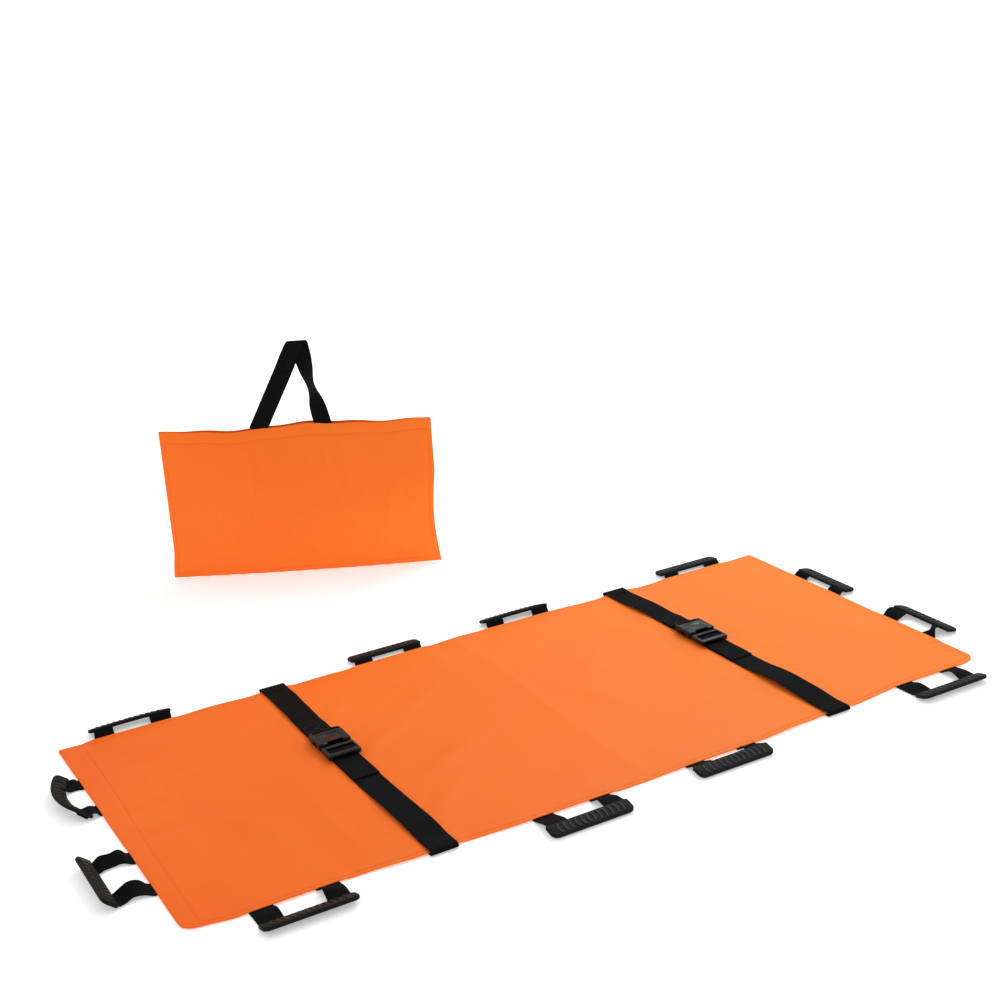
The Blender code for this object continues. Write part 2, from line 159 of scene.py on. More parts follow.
def coated_polyester():
    """Coated polyester: a satin film over a plain weave, which shows as a faint grid.

    The real threads are 0.45 mm apart, too fine to show from here, so they are drawn 1.1 mm apart.
    """
    finish, tree, shader = new_finish("coated_polyester_orange", Roughness=0.5, IOR=1.49,
                                      Specular_IOR_Level=0.08)
    cloth = add(tree, "ShaderNodeUVMap", uv_map="cloth").outputs[0]
    place = add(tree, "ShaderNodeTexCoord").outputs["Object"]
    thread_spacing = 0.0011
    band_scale = BAND_SCALE / thread_spacing
    warp = add(tree, "ShaderNodeTexWave", {"Vector": cloth, "Scale": band_scale},
               bands_direction="X").outputs["Fac"]
    weft = add(tree, "ShaderNodeTexWave", {"Vector": cloth, "Scale": band_scale},
               bands_direction="Y").outputs["Fac"]
    weave = add(tree, "ShaderNodeMath", {0: warp, 1: weft}, operation="ADD").outputs[0]
    # The dye took a little unevenly, in patches a hand or two across; the paler head end is painted
    # light.
    patches = add(tree, "ShaderNodeTexNoise", {"Vector": place, "Scale": 3.2, "Detail": 3.0,
                                               "Roughness": 0.5}).outputs["Fac"]
    patch_share = add(tree, "ShaderNodeMapRange", {"Value": patches, "From Min": 0.35,
                                                   "From Max": 0.68}).outputs[0]
    dyed = mix_colours(tree, patch_share, linear("#FC6C20"), linear("#FF7425"))
    length_way = add(tree, "ShaderNodeSeparateXYZ", {"Vector": place}).outputs["X"]
    # Painted light: the colour grows paler along the sheet towards the head end, where the lamp
    # stands.
    painted_light_headward = add(tree, "ShaderNodeMapRange", {"Value": length_way, "From Min": -0.8,
                                                "From Max": 0.75}).outputs[0]
    dyed_and_lit = mix_colours(tree, painted_light_headward, dyed, linear("#FF8630"))
    specks = add(tree, "ShaderNodeTexNoise", {"Vector": place, "Scale": 55.0, "Detail": 4.0,
                                              "Roughness": 0.65}).outputs["Fac"]
    speck_share = add(tree, "ShaderNodeMapRange", {"Value": specks, "From Min": 0.55,
                                                   "From Max": 0.8, "To Max": 0.22}).outputs[0]
    colour = mix_colours(tree, speck_share, dyed_and_lit, linear("#F3661E"))
    tree.links.new(colour, shader.inputs["Base Color"])
    gloss = add(tree, "ShaderNodeMapRange", {"Value": patches, "To Min": 0.40,
                                             "To Max": 0.56}).outputs[0]
    tree.links.new(gloss, shader.inputs["Roughness"])
    grain = add(tree, "ShaderNodeBump", {"Height": weave, "Strength": 0.22,
                                         "Distance": 0.00012})
    rumple = add(tree, "ShaderNodeTexNoise", {"Vector": place, "Scale": 26.0, "Detail": 5.0,
                                              "Roughness": 0.55}).outputs["Fac"]
    uneven = add(tree, "ShaderNodeBump", {"Height": rumple, "Strength": 0.35,
                                          "Distance": 0.0012, "Normal": grain.outputs[0]})
    tree.links.new(uneven.outputs[0], shader.inputs["Normal"])
    return finish


def polyester_thread(name, hex_colour):
    """Twisted polyester sewing thread: round, a little shiny, with a fine diagonal lay."""
    finish, tree, shader = new_finish(name, Roughness=0.5, Sheen_Weight=0.2)
    place = add(tree, "ShaderNodeTexCoord").outputs["Object"]
    lay = add(tree, "ShaderNodeTexWave", {"Vector": place, "Scale": 420.0, "Distortion": 0.5},
              bands_direction="DIAGONAL").outputs["Fac"]
    colour = mix_colours(tree, lay, linear(hex_colour), linear(hex_colour), "MULTIPLY")
    tree.links.new(mix_colours(tree, 0.5, colour, linear(hex_colour)),
                   shader.inputs["Base Color"])
    twist = add(tree, "ShaderNodeBump", {"Height": lay, "Strength": 0.4, "Distance": 0.0001})
    tree.links.new(twist.outputs[0], shader.inputs["Normal"])
    return finish


def ease(start, stop, value):
    """A smooth rise from 0 at start to 1 at stop."""
    part = min(max((value - start) / (stop - start), 0.0), 1.0)
    return part * part * (3 - 2 * part)


def new_piece(name, points, faces, finishes, corner_uvs=None):
    """A piece from its points and faces; corner_uvs gives each face corner its cloth place."""
    mesh = bpy.data.meshes.new(name)
    mesh.from_pydata(points, [], faces)
    for finish in finishes:
        mesh.materials.append(finish)
    if corner_uvs:
        layer = mesh.uv_layers.new(name="cloth")
        for corner, spot in zip(layer.data, corner_uvs):
            corner.uv = spot
    mesh.update()
    for face in mesh.polygons:
        face.use_smooth = True
    piece = bpy.data.objects.new(name, mesh)
    bpy.context.scene.collection.objects.link(piece)
    return piece


def sew(name, runs, finish, pitch=0.0042, thread=0.0007):
    """A row of lock stitches along each run of points: short raised dashes with gaps between."""
    points, faces = [], []
    for run in runs:
        travelled, due = 0.0, pitch / 2
        for first, second in zip(run, run[1:]):
            span = (second - first).length
            while span > 0 and travelled + span >= due:
                middle = first.lerp(second, (due - travelled) / span)
                along = (second - first).normalized()
                side = along.cross(Vector((0, 0, 1)))
                side = side.normalized() if side.length > 0.2 else Vector((1, 0, 0))
                up = side.cross(along)
                base = len(points)
                points.append(middle - along * pitch * 0.40)
                for shift in (-0.22, 0.22):
                    for across, rise in ((-1, 0), (0, 0.75), (1, 0), (0, -0.75)):
                        points.append(middle + along * pitch * shift + side * across * thread / 2
                                      + up * (rise * thread / 2))
                points.append(middle + along * pitch * 0.40)
                for turn in range(4):
                    after = (turn + 1) % 4
                    faces.append((base, base + 1 + after, base + 1 + turn))
                    faces.append((base + 1 + turn, base + 1 + after, base + 5 + after,
                                  base + 5 + turn))
                    faces.append((base + 9, base + 5 + turn, base + 5 + after))
                due += pitch
            travelled += span
    return new_piece(name, points, faces, [finish])


orange_fabric = coated_polyester()
orange_thread = polyester_thread("polyester_thread_orange", "#E8621C")

SHEET_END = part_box("sheet_head")[1].x
SHEET_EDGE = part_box("sheet_head")[1].y
# The right edge bows out: places along the sheet, and how far the edge stands out at each.
RIGHT_BOW = ((-0.800, 0.0), (-0.705, 0.011), (-0.545, 0.011), (-0.406, 0.021), (-0.346, 0.021),
             (-0.217, 0.028), (-0.057, 0.028), (0.089, 0.027), (0.249, 0.027), (0.407, 0.019),
             (0.467, 0.019), (0.586, 0.008), (0.746, 0.008), (0.800, 0.0))
RIGHT_CORNER = 0.022
LEFT_CORNER = 0.006
FABRIC_THICK = 0.0013
HEM_WIDTH = 0.0125
HEM_STITCH = 0.0095
LYING_TOP = 0.0021
OVER_WEBBING_TOP = 0.0047
HANDLES = [body for body in frame["bodies"] if "_handle_" in body and body != "pouch_handle"]
STRAP_PLACES = {}
for strap in ("leg_strap", "chest_strap"):
    strap_low, strap_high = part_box(strap + "_socket_webbing")
    STRAP_PLACES[strap] = (strap_low.x + strap_high.x) / 2
SEWN_BOXES = [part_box(handle + "_anchor") for handle in HANDLES]
SEWN_BOXES += [(Vector((place - 0.027, -SHEET_EDGE, 0)), Vector((place + 0.027, SHEET_EDGE, 0)))
               for place in STRAP_PLACES.values()]

# Soft folds and dents in the fabric: middle x and y, bearing in degrees, length, width, height.
FABRIC_FOLDS = (
    (-0.71, 0.22, 62, 0.20, 0.020, 0.0032), (-0.66, 0.10, 40, 0.16, 0.016, 0.0022),
    (-0.74, -0.02, 15, 0.12, 0.018, 0.0024), (-0.60, -0.12, -35, 0.22, 0.026, 0.0030),
    (-0.70, -0.22, 58, 0.16, 0.018, 0.0024), (-0.52, 0.23, 75, 0.20, 0.024, 0.0026),
    (-0.49, -0.18, -70, 0.24, 0.022, 0.0026), (-0.33, 0.17, 66, 0.22, 0.018, 0.0034),
    (-0.29, 0.03, 52, 0.26, 0.020, 0.0042), (-0.22, -0.10, 44, 0.30, 0.022, 0.0046),
    (-0.30, -0.22, 62, 0.20, 0.018, 0.0036), (-0.14, -0.19, 38, 0.22, 0.020, 0.0034),
    (-0.16, 0.14, 58, 0.26, 0.024, 0.0032), (-0.05, 0.02, 50, 0.24, 0.026, 0.0030),
    (-0.02, -0.26, 12, 0.16, 0.020, 0.0026), (0.06, 0.22, 30, 0.20, 0.024, 0.0024),
    (0.13, -0.06, -48, 0.26, 0.026, 0.0028), (0.20, 0.08, 64, 0.22, 0.022, 0.0026),
    (0.26, -0.20, 40, 0.20, 0.022, 0.0026), (0.34, 0.16, -58, 0.24, 0.024, 0.0026),
    (0.36, -0.06, 72, 0.26, 0.020, 0.0028), (0.50, 0.24, 35, 0.18, 0.022, 0.0022),
    (0.53, 0.02, 64, 0.28, 0.026, 0.0026), (0.58, -0.20, -42, 0.22, 0.024, 0.0024),
    (0.68, 0.12, 48, 0.24, 0.026, 0.0026), (0.70, -0.06, -30, 0.20, 0.022, 0.0024),
    (0.74, -0.24, 20, 0.16, 0.020, 0.0022), (0.72, 0.27, -12, 0.16, 0.018, 0.0020),
)
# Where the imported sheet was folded, its creases still show as ridges: place along it, and height.
PACKING_CREASES = ((0.025, 0.0022), (-0.476, 0.0012), (0.513, 0.0012))


def fabric_top(x, y):
    """How high the fabric's face lies at a place on the sheet."""
    over = 0.0
    for low, high in SEWN_BOXES:
        outside = math.hypot(max(low.x - x, x - high.x, 0.0), max(low.y - y, y - high.y, 0.0))
        over = max(over, 1.0 - ease(0.0, 0.028, outside))
    height = LYING_TOP + (OVER_WEBBING_TOP - LYING_TOP) * over
    from_edge = min(SHEET_EDGE - abs(y), SHEET_END - abs(x))
    loose = (1.0 - over) * ease(0.0, 0.05, from_edge)
    rumple = 0.0
    for place_x, place_y, bearing, length, width, rise in FABRIC_FOLDS:
        across_x, across_y = x - place_x, y - place_y
        if abs(across_x) > length or abs(across_y) > length:
            continue
        heading = math.radians(bearing)
        along = across_x * math.cos(heading) + across_y * math.sin(heading)
        side = across_y * math.cos(heading) - across_x * math.sin(heading)
        side += 0.12 * length * math.sin(3.0 * along / length)
        if abs(along) < length / 2:
            swell = math.cos(math.pi * along / length) ** 2
            rumple += rise * swell * math.exp(-(side / width) ** 2)
    swell = 0.0009 * (1 + math.sin(9.0 * x + 5.0 * y)) * (1 + math.sin(11.0 * y - 4.0 * x + 1.0))
    for place_x, rise in PACKING_CREASES:
        wander = place_x + 0.004 * math.sin(9.0 * y)
        rumple += rise * math.exp(-abs(x - wander) / 0.010)
    edge_wave = 0.0
    if over < 1.0:
        phase = math.sin(17.0 * x + 1.3 * y) * math.sin(6.1 * x + 2.0)
        edge_wave = 0.0042 * max(phase, 0.0) * (1.0 - over) * (1.0 - ease(0.0, 0.09, from_edge))
    return height + loose * (rumple + swell) + edge_wave


def end_hem(y):
    """The foot hem was turned unevenly, so that its stitch line nears the end at the right."""
    return 0.036 + 0.009 * y / SHEET_EDGE + 0.0012 * math.sin(14.0 * y)


def fabric_thickness(x, y):
    """One layer, or two in the hems."""
    from_side = SHEET_EDGE - abs(y)
    from_end = SHEET_END - abs(x)
    end_width = end_hem(y) + 0.003 if x < 0 else HEM_WIDTH
    doubled = max(1.0 - ease(HEM_WIDTH - 0.001, HEM_WIDTH, from_side),
                  1.0 - ease(end_width - 0.001, end_width, from_end))
    return FABRIC_THICK * (1.0 + 0.5 * doubled)


def fabric_groove(x, y):
    """How far the thread pulls the face down along the stitch lines."""
    from_side = SHEET_EDGE - abs(y)
    from_end = SHEET_END - abs(x)
    end_line = end_hem(y) if x < 0 else HEM_STITCH
    nearest = min(abs(from_side - HEM_STITCH), abs(from_end - end_line))
    return 0.0007 * math.exp(-(nearest / 0.0016) ** 2)


def round_corner(x, y):
    """Draw a square corner of the cut in to a round one, wider at the right edge."""
    radius = RIGHT_CORNER if y < 0 else LEFT_CORNER
    out_x = abs(x) - (SHEET_END - radius)
    out_y = abs(y) - (SHEET_EDGE - radius)
    if out_x <= 0 or out_y <= 0:
        return x, y
    shrink = max(out_x, out_y) / math.hypot(out_x, out_y)
    return (math.copysign(SHEET_END - radius + out_x * shrink, x),
            math.copysign(SHEET_EDGE - radius + out_y * shrink, y))


def right_bow(x):
    """How far the right edge stands out from a straight line."""
    for (start, low), (stop, high) in zip(RIGHT_BOW, RIGHT_BOW[1:]):
        if x <= stop:
            return low + (high - low) * ease(start, stop, x)
    return 0.0


def edge_sway(x, y):
    """The right edge bows out, and both wander a little, because the hem was sewn by hand."""
    share = ease(0.20, 1.0, abs(y) / SHEET_EDGE)
    sway = 0.0010 * share * math.sin(8.0 * x + (1.0 if y > 0 else 4.0))
    return sway - right_bow(x) * ease(0.0, SHEET_EDGE, -y)


def lines_between(start, stop, spacing):
    """Evenly spaced places from start up to, but not with, stop."""
    count = max(1, round(abs(stop - start) / spacing))
    return [start + (stop - start) * step / count for step in range(count)]


def rim_steps(wide, tall):
    """Each step round the rim of a cloth whose points go up one column after another."""
    rim = list(range(tall - 1))
    rim += [column * tall + tall - 1 for column in range(wide - 1)]
    rim += [(wide - 1) * tall + row for row in range(tall - 1, 0, -1)]
    rim += [column * tall for column in range(wide - 1, 0, -1)]
    return zip(rim, rim[1:] + rim[:1])


def fabric_piece(name, start, stop):
    """A length of the sheet from one strap to the next, with its hems and both its faces."""
    cell = 0.0075
    hem_lines = (0.0, 0.0008, 0.0022, 0.0055, 0.0080, 0.0095, 0.0110, 0.0124, 0.0150, 0.0200)
    columns = []
    if start <= -SHEET_END:
        columns += [lambda y, d=d: -SHEET_END + d for d in (0.0, 0.0008, 0.0022, 0.0060, 0.0120)]
        columns += [lambda y, d=d: -SHEET_END + end_hem(y) + d
                    for d in (-0.0120, -0.0060, -0.0016, 0.0, 0.0016, 0.0036, 0.0060, 0.0100)]
        start = -SHEET_END + 0.062
    inner_stop = SHEET_END - hem_lines[-1] if stop >= SHEET_END else stop
    columns += [lambda y, x=x: x for x in lines_between(start, inner_stop, cell)]
    if stop >= SHEET_END:
        columns += [lambda y, d=d: SHEET_END - d for d in reversed(hem_lines)]
    else:
        columns += [lambda y: stop]
    inner_edge = SHEET_EDGE - hem_lines[-1]
    rows = [-SHEET_EDGE + d for d in hem_lines[:-1]]
    rows += lines_between(-inner_edge, inner_edge, cell)
    rows += [SHEET_EDGE - d for d in reversed(hem_lines)]
    points, spots = [], []
    for side in (0, 1):
        for column in columns:
            for row in rows:
                flat_x, flat_y = column(row), row
                x, y = round_corner(flat_x, flat_y)
                top = fabric_top(x, y) - fabric_groove(flat_x, flat_y)
                from_rim = min(SHEET_EDGE - abs(flat_y), SHEET_END - abs(flat_x))
                top -= 0.0005 * (1.0 - ease(0.0, 0.0022, from_rim))
                thick = fabric_thickness(flat_x, flat_y)
                if from_rim < 0.0007:
                    thick *= 0.5
                    top -= thick * 0.25
                low = max(top - thick, 0.0001 + 0.0002 * (from_rim < 0.0007))
                points.append((x, y + edge_sway(x, y), top if side == 0 else low))
                spots.append((flat_x, flat_y))
    faces = []
    tall, wide = len(rows), len(columns)
    half = tall * wide
    for column in range(wide - 1):
        for row in range(tall - 1):
            corner = column * tall + row
            faces.append((corner, corner + tall, corner + tall + 1, corner + 1))
            faces.append((half + corner, half + corner + 1, half + corner + tall + 1,
                          half + corner + tall))
    for corner, after in rim_steps(wide, tall):
        faces.append((corner, after, half + after, half + corner))
    uvs = [spots[point] for face in faces for point in face]
    return new_piece(name, points, faces, [orange_fabric], uvs)


def fabric_point(x, y, lift=0.0):
    """A point on the fabric's face, over a place on the flat cut."""
    bent_x, bent_y = round_corner(x, y)
    top = fabric_top(bent_x, bent_y) - fabric_groove(x, y) + lift
    return Vector((bent_x, bent_y + edge_sway(bent_x, bent_y), top))


def fabric_stitching(name, start, stop):
    """The hem's stitch lines over one length of the sheet."""
    thread_lift = 0.00015
    side_line = SHEET_EDGE - HEM_STITCH
    low = max(start, -SHEET_END + end_hem(0.0))
    high = min(stop, SHEET_END - HEM_STITCH)
    runs = []
    for side in (-1, 1):
        runs.append([fabric_point(x, side * side_line, thread_lift)
                     for x in lines_between(low, high, 0.004) + [high]])
    across = lines_between(-side_line, side_line, 0.004) + [side_line]
    if start <= -SHEET_END:
        runs.append([fabric_point(-SHEET_END + end_hem(y), y, thread_lift) for y in across])
    if stop >= SHEET_END:
        runs.append([fabric_point(high, y, thread_lift) for y in across])
    return sew(name, runs, orange_thread)


FABRIC_LENGTHS = (
    ("foot_fabric", -SHEET_END, STRAP_PLACES["leg_strap"], "foot_panel", "leg_panel",
     -0.5245, -0.4275, "sheet_foot"),
    ("middle_fabric", STRAP_PLACES["leg_strap"], STRAP_PLACES["chest_strap"], "leg_panel",
     "torso_panel", -0.045, 0.095, "sheet_leg"),
    ("head_fabric", STRAP_PLACES["chest_strap"], SHEET_END, "torso_panel", "head_panel",
     0.4645, 0.5615, "sheet_head"),
)
for name, start, stop, first_body, second_body, bend_start, bend_stop, node in FABRIC_LENGTHS:
    fabric = fabric_piece(name, start, stop)
    stitching = fabric_stitching(name + "_stitching", start, stop)
    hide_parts(node)
    for piece in (fabric, stitching):
        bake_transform(piece)
    if name == "middle_fabric":
        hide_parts("sheet_torso")


# ---- The carry handles' webbing ----
# Polypropylene tape 40 mm wide, woven with raised ribs across it.  Both its ends are sewn under
# the sheet with a crossed box, and its two legs run out past the edge into a moulded grip.


def woven_tape(name, hex_colour, hex_worn):
    """Black polypropylene webbing: matt, with ribs across it and a paler bloom where it rubs.

    Its ribs are 1.6 mm apart and its warp ends 1.9 mm, and both show as a fine grid.
    """
    finish, tree, shader = new_finish(name, Roughness=0.85, IOR=1.49, Specular_IOR_Level=0.08)
    cloth = add(tree, "ShaderNodeUVMap", uv_map="cloth").outputs[0]
    place = add(tree, "ShaderNodeTexCoord").outputs["Object"]
    rib_spacing, warp_spacing = 0.0016, 0.0019
    ribs = add(tree, "ShaderNodeTexWave", {"Vector": cloth, "Scale": BAND_SCALE / rib_spacing},
               bands_direction="Y").outputs["Fac"]
    warps = add(tree, "ShaderNodeTexWave", {"Vector": cloth, "Scale": BAND_SCALE / warp_spacing},
                bands_direction="X").outputs["Fac"]
    weave = add(tree, "ShaderNodeMath", {0: ribs, 1: warps}, operation="MULTIPLY").outputs[0]
    rubbed = add(tree, "ShaderNodeTexNoise", {"Vector": place, "Scale": 38.0, "Detail": 4.0,
                                              "Roughness": 0.6}).outputs["Fac"]
    worn = add(tree, "ShaderNodeMapRange", {"Value": rubbed, "From Min": 0.42,
                                            "From Max": 0.75}).outputs[0]
    raised = add(tree, "ShaderNodeMath", {0: worn, 1: weave}, operation="MULTIPLY").outputs[0]
    colour = mix_colours(tree, raised, linear(hex_colour), linear(hex_worn))
    tree.links.new(colour, shader.inputs["Base Color"])
    bump = add(tree, "ShaderNodeBump", {"Height": weave, "Strength": 0.55, "Distance": 0.0004})
    tree.links.new(bump.outputs[0], shader.inputs["Normal"])
    return finish


def smooth_run(knots, spacing):
    """Even stations on a smooth curve through knots; a knot is several vectors that go together."""
    count = len(knots)
    spans = [max((knots[i + 1][0] - knots[i][0]).length, 1e-6) for i in range(count - 1)]
    slopes = []
    for index in range(count):
        if index == 0:
            slopes.append([(b - a) / spans[0] for a, b in zip(knots[0], knots[1])])
        elif index == count - 1:
            slopes.append([(b - a) / spans[-1] for a, b in zip(knots[-2], knots[-1])])
        else:
            back, on = spans[index - 1], spans[index]
            slopes.append([((b - a) / back * on + (c - b) / on * back) / (back + on)
                           for a, b, c in zip(knots[index - 1], knots[index], knots[index + 1])])
    stations = []
    for index, span in enumerate(spans):
        steps = max(1, round(span / spacing))
        for step in range(steps):
            t = step / steps
            weights = (2 * t**3 - 3 * t**2 + 1, t**3 - 2 * t**2 + t,
                       3 * t**2 - 2 * t**3, t**3 - t**2)
            stations.append([weights[0] * a + weights[1] * span * m + weights[2] * b
                             + weights[3] * span * n
                             for a, b, m, n in zip(knots[index], knots[index + 1],
                                                   slopes[index], slopes[index + 1])])
    stations.append(list(knots[-1]))
    return stations


def take_up(*pieces):
    """Select only these pieces, with the first of them active, for the operators that follow."""
    bpy.ops.object.select_all(action="DESELECT")
    for piece in pieces:
        piece.select_set(True)
    bpy.context.view_layer.objects.active = pieces[0]


def webbing(name, stations, finish, thickness=0.0016):
    """Woven tape along stations, each its middle and a vector from there to its right edge."""
    profile = ((-1.0, 0.40), (-0.975, 0.95), (-0.93, 1.08), (-0.86, 1.0), (-0.5, 1.0),
               (0.0, 1.0), (0.5, 1.0), (0.86, 1.0), (0.93, 1.08), (0.975, 0.95), (1.0, 0.40))
    points, spots, faces = [], [], []
    travelled = 0.0
    ring = 2 * len(profile)
    for index, (middle, across) in enumerate(stations):
        before = stations[max(index - 1, 0)][0]
        after = stations[min(index + 1, len(stations) - 1)][0]
        along = (after - before).normalized()
        up = across.cross(along).normalized()
        travelled += (middle - before).length
        for face_side in (1, -1):
            order = profile if face_side > 0 else profile[::-1]
            for share, swell in order:
                points.append(middle + across * share + up * (face_side * swell * thickness / 2))
                spots.append((share * across.length, travelled))
    for index in range(len(stations) - 1):
        for corner in range(ring):
            after = (corner + 1) % ring
            faces.append((index * ring + corner, index * ring + after,
                          (index + 1) * ring + after, (index + 1) * ring + corner))
    for start, flip in ((0, True), ((len(stations) - 1) * ring, False)):
        for corner in range(len(profile) - 1):
            quad = [start + corner, start + corner + 1, start + ring - 2 - corner,
                    start + ring - 1 - corner]
            faces.append(tuple(quad[::-1] if flip else quad))
    uvs = [spots[point] for face in faces for point in face]
    piece = new_piece(name, points, faces, [finish], uvs)
    take_up(piece)
    bpy.ops.object.mode_set(mode="EDIT")
    bpy.ops.mesh.select_all(action="SELECT")
    bpy.ops.mesh.normals_make_consistent(inside=False)
    bpy.ops.object.mode_set(mode="OBJECT")
    bpy.ops.object.shade_smooth_by_angle(angle=math.radians(50))
    return piece


black_webbing = woven_tape("woven_polypropylene_black", "#0B0C0D", "#18191B")
black_thread = polyester_thread("polyester_thread_black", "#1A1B1D")

HANDLE_TAPE = 0.040
HANDLE_WIDTH = 0.150
TAPE_MIDDLE_HEIGHT = 0.0010
SEWN_LENGTH = 0.100

# How each handle lies: outward bearing, how far its legs show, how high the grip's inner edge is,
# how the grip tips, how it bows, and the bend, twist and flare of its right and its left leg.
HANDLE_LAYS = {
    "left_handle_1": (90, 0.012, 0.0152, -22, 0.003, (0.0020, 3, 1.02), (0.0020, -6, 0.92)),
    "left_handle_2": (90, 0.012, 0.0088, -8, 0.0, (0.0015, 4, 0.98), (0.0010, -4, 1.0)),
    "left_handle_3": (90, 0.012, 0.0145, -20, 0.002, (0.0015, -5, 1.0), (0.0015, 4, 1.0)),
    "left_handle_4": (90, 0.012, 0.0078, -6, 0.0, (0.0015, 4, 1.0), (0.0015, -5, 0.96)),
    "right_handle_1": (-90, 0.048, 0.0048, 18, 0.0, (-0.0020, -10, 1.0), (0.0060, 16, 1.04)),
    "right_handle_2": (-90, 0.044, 0.0108, -12, 0.0, (0.0015, 0, 1.0), (0.0040, 8, 1.04)),
    "right_handle_3": (-90, 0.024, 0.0108, -12, 0.0, (0.0010, 0, 1.0), (0.0020, 8, 1.04)),
    "right_handle_4": (-90, 0.052, 0.0048, 14, 0.0, (-0.0010, -8, 1.0), (0.0040, 12, 1.04)),
    "foot_handle_left": (180, 0.017, 0.0045, 40, 0.020, (0.0020, 14, 0.80), (0.0040, -8, 1.04)),
    "foot_handle_right": (180, 0.062, 0.0045, 40, 0.0, (0.0110, 38, 0.62), (0.0085, 24, 0.80)),
    "head_handle_left": (0, 0.014, 0.0098, -8, 0.0, (0.0020, 4, 1.04), (0.0015, -4, 0.96)),
    "head_handle_right": (0, 0.033, 0.0118, -14, 0.0, (0.0080, 34, 0.66), (0.0030, -8, 1.04)),
}


def handle_frame(name, bearing):
    """From a handle's own directions, along the edge, outward and up, to its place at rest."""
    low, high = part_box(name + "_anchor")
    middle = (low + high) / 2
    outward = Vector((math.cos(math.radians(bearing)), math.sin(math.radians(bearing)), 0))
    place = Vector((middle.x, middle.y, 0.0))
    place += outward * (SEWN_LENGTH / 2)
    if abs(outward.x) > 0.5:
        place.x = outward.x * SHEET_END
    else:
        place.y = SHEET_EDGE if outward.y > 0 else -SHEET_EDGE - right_bow(place.x)
    return Matrix.Translation(place) @ Matrix.Rotation(math.radians(bearing - 90), 4, "Z")


def grip_bow(along, bow):
    """How far the grip's middle swells outward."""
    return bow * (1.0 - (2.0 * along / HANDLE_WIDTH) ** 2)


def handle_leg(name, side, lay, leg_shape):
    """One leg, from its cut end under the sheet, past the edge, and into the grip."""
    bearing, leg, rise, tip, bow = lay
    bend, twist, flare = leg_shape
    tip = math.radians(tip)
    reach = Vector((0, math.cos(tip), math.sin(tip)))
    half = HANDLE_TAPE / 2
    middle = side * (HANDLE_WIDTH - HANDLE_TAPE) / 2
    start = Vector((middle, 0, TAPE_MIDDLE_HEIGHT))
    grip_mouth = Vector((middle, leg + grip_bow(middle, bow), rise))
    knots = [(start + Vector((0, -SEWN_LENGTH, 0)), Vector((half, 0, 0))),
             (start + Vector((0, -SEWN_LENGTH / 2, 0)), Vector((half, 0, 0))),
             (start + Vector((0, -0.012, 0)), Vector((half, 0, 0))),
             (start + Vector((0, 0.002, 0.0002)), Vector((half, 0, 0)))]
    for share in (0.3, 0.55, 0.8):
        swing = math.sin(math.pi * share)
        ripple = bend * swing + 0.35 * bend * math.sin(2 * math.pi * share + side)
        spot = start.lerp(grip_mouth, share)
        spot.z = start.z + (rise - start.z) * ease(0.0, 1.0, share) + max(ripple, -0.004)
        spot.x += -side * 0.10 * HANDLE_TAPE * (1 - flare) * swing
        width = half * (1.0 + (flare - 1.0) * swing)
        roll = math.radians(twist) * swing
        across = Vector((math.cos(roll), 0, math.sin(roll))) * width
        lowest = spot.z - abs(across.z)
        spot.z += max(0.0015 - lowest, 0.0)
        knots.append((spot, across))
    knots.append((grip_mouth - reach * 0.001, Vector((half, 0, 0))))
    knots.append((grip_mouth + reach * 0.008, Vector((half, 0, 0))))
    knots.append((grip_mouth + reach * 0.018, Vector((half * 0.96, 0, 0))))
    stations = smooth_run(knots, 0.0028)
    for spot, across in stations:
        spot.z = max(spot.z, abs(across.z) + TAPE_MIDDLE_HEIGHT)
    return stations


def crossed_box(middle_x, start_y, stop_y, height, half=0.015):
    """The square and cross of stitches that hold webbing down."""
    low = Vector((middle_x - half, start_y, height))
    high = Vector((middle_x + half, stop_y, height))
    corners = [low, Vector((high.x, low.y, height)), high, Vector((low.x, high.y, height))]
    return [corners + corners[:1], [corners[0], corners[2]], [corners[1], corners[3]]]


def joined(pieces, name):
    """Several meshes made into one piece."""
    take_up(*pieces)
    bpy.ops.object.join()
    pieces[0].name = name
    pieces[0].data.name = name
    return pieces[0]


PANEL_OF = {}
for joint in frame["joints"]:
    if joint["name"].endswith("_swing"):
        PANEL_OF[joint["child"]] = joint["parent"]

for name, (*lay, right_leg, left_leg) in HANDLE_LAYS.items():
    own = handle_frame(name, lay[0])
    legs = [webbing(name + "_leg", handle_leg(name, side, lay, leg_shape), black_webbing)
            for side, leg_shape in ((1, right_leg), (-1, left_leg))]
    # Under the sheet, a length of the same tape runs across from one leg to the other.
    bridge = [(Vector((along, 0.02 - SEWN_LENGTH, TAPE_MIDDLE_HEIGHT)), Vector((0, 0.020, 0)))
              for along in lines_between(-HANDLE_WIDTH / 2, HANDLE_WIDTH / 2, 0.005)
              + [HANDLE_WIDTH / 2]]
    legs.append(webbing(name + "_seam", bridge[8:-8], black_webbing))
    tape = joined(legs, name + "_tape")
    tape.data.transform(own)
    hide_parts(name + "_webbing", name + "_anchor")
    edge = own @ Vector((0, 0.001, 0))
    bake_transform(tape)
    runs = []
    for side in (1, -1):
        middle = side * (HANDLE_WIDTH - HANDLE_TAPE) / 2
        runs += crossed_box(middle, 0.006 - SEWN_LENGTH, 0.034 - SEWN_LENGTH, 0.00028)
        runs += crossed_box(middle, -0.040, -0.008, 0.00028)
    stitches = sew(name + "_box_stitches", [[own @ point for point in run] for run in runs],
                   black_thread)
    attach(stitches, PANEL_OF[name])


# ---- The grips ----
# Soft black rubber moulded in one piece round the loop's webbing.  Its face has twelve curved
# ribs that open away from the middle, and its outer corners are well rounded.


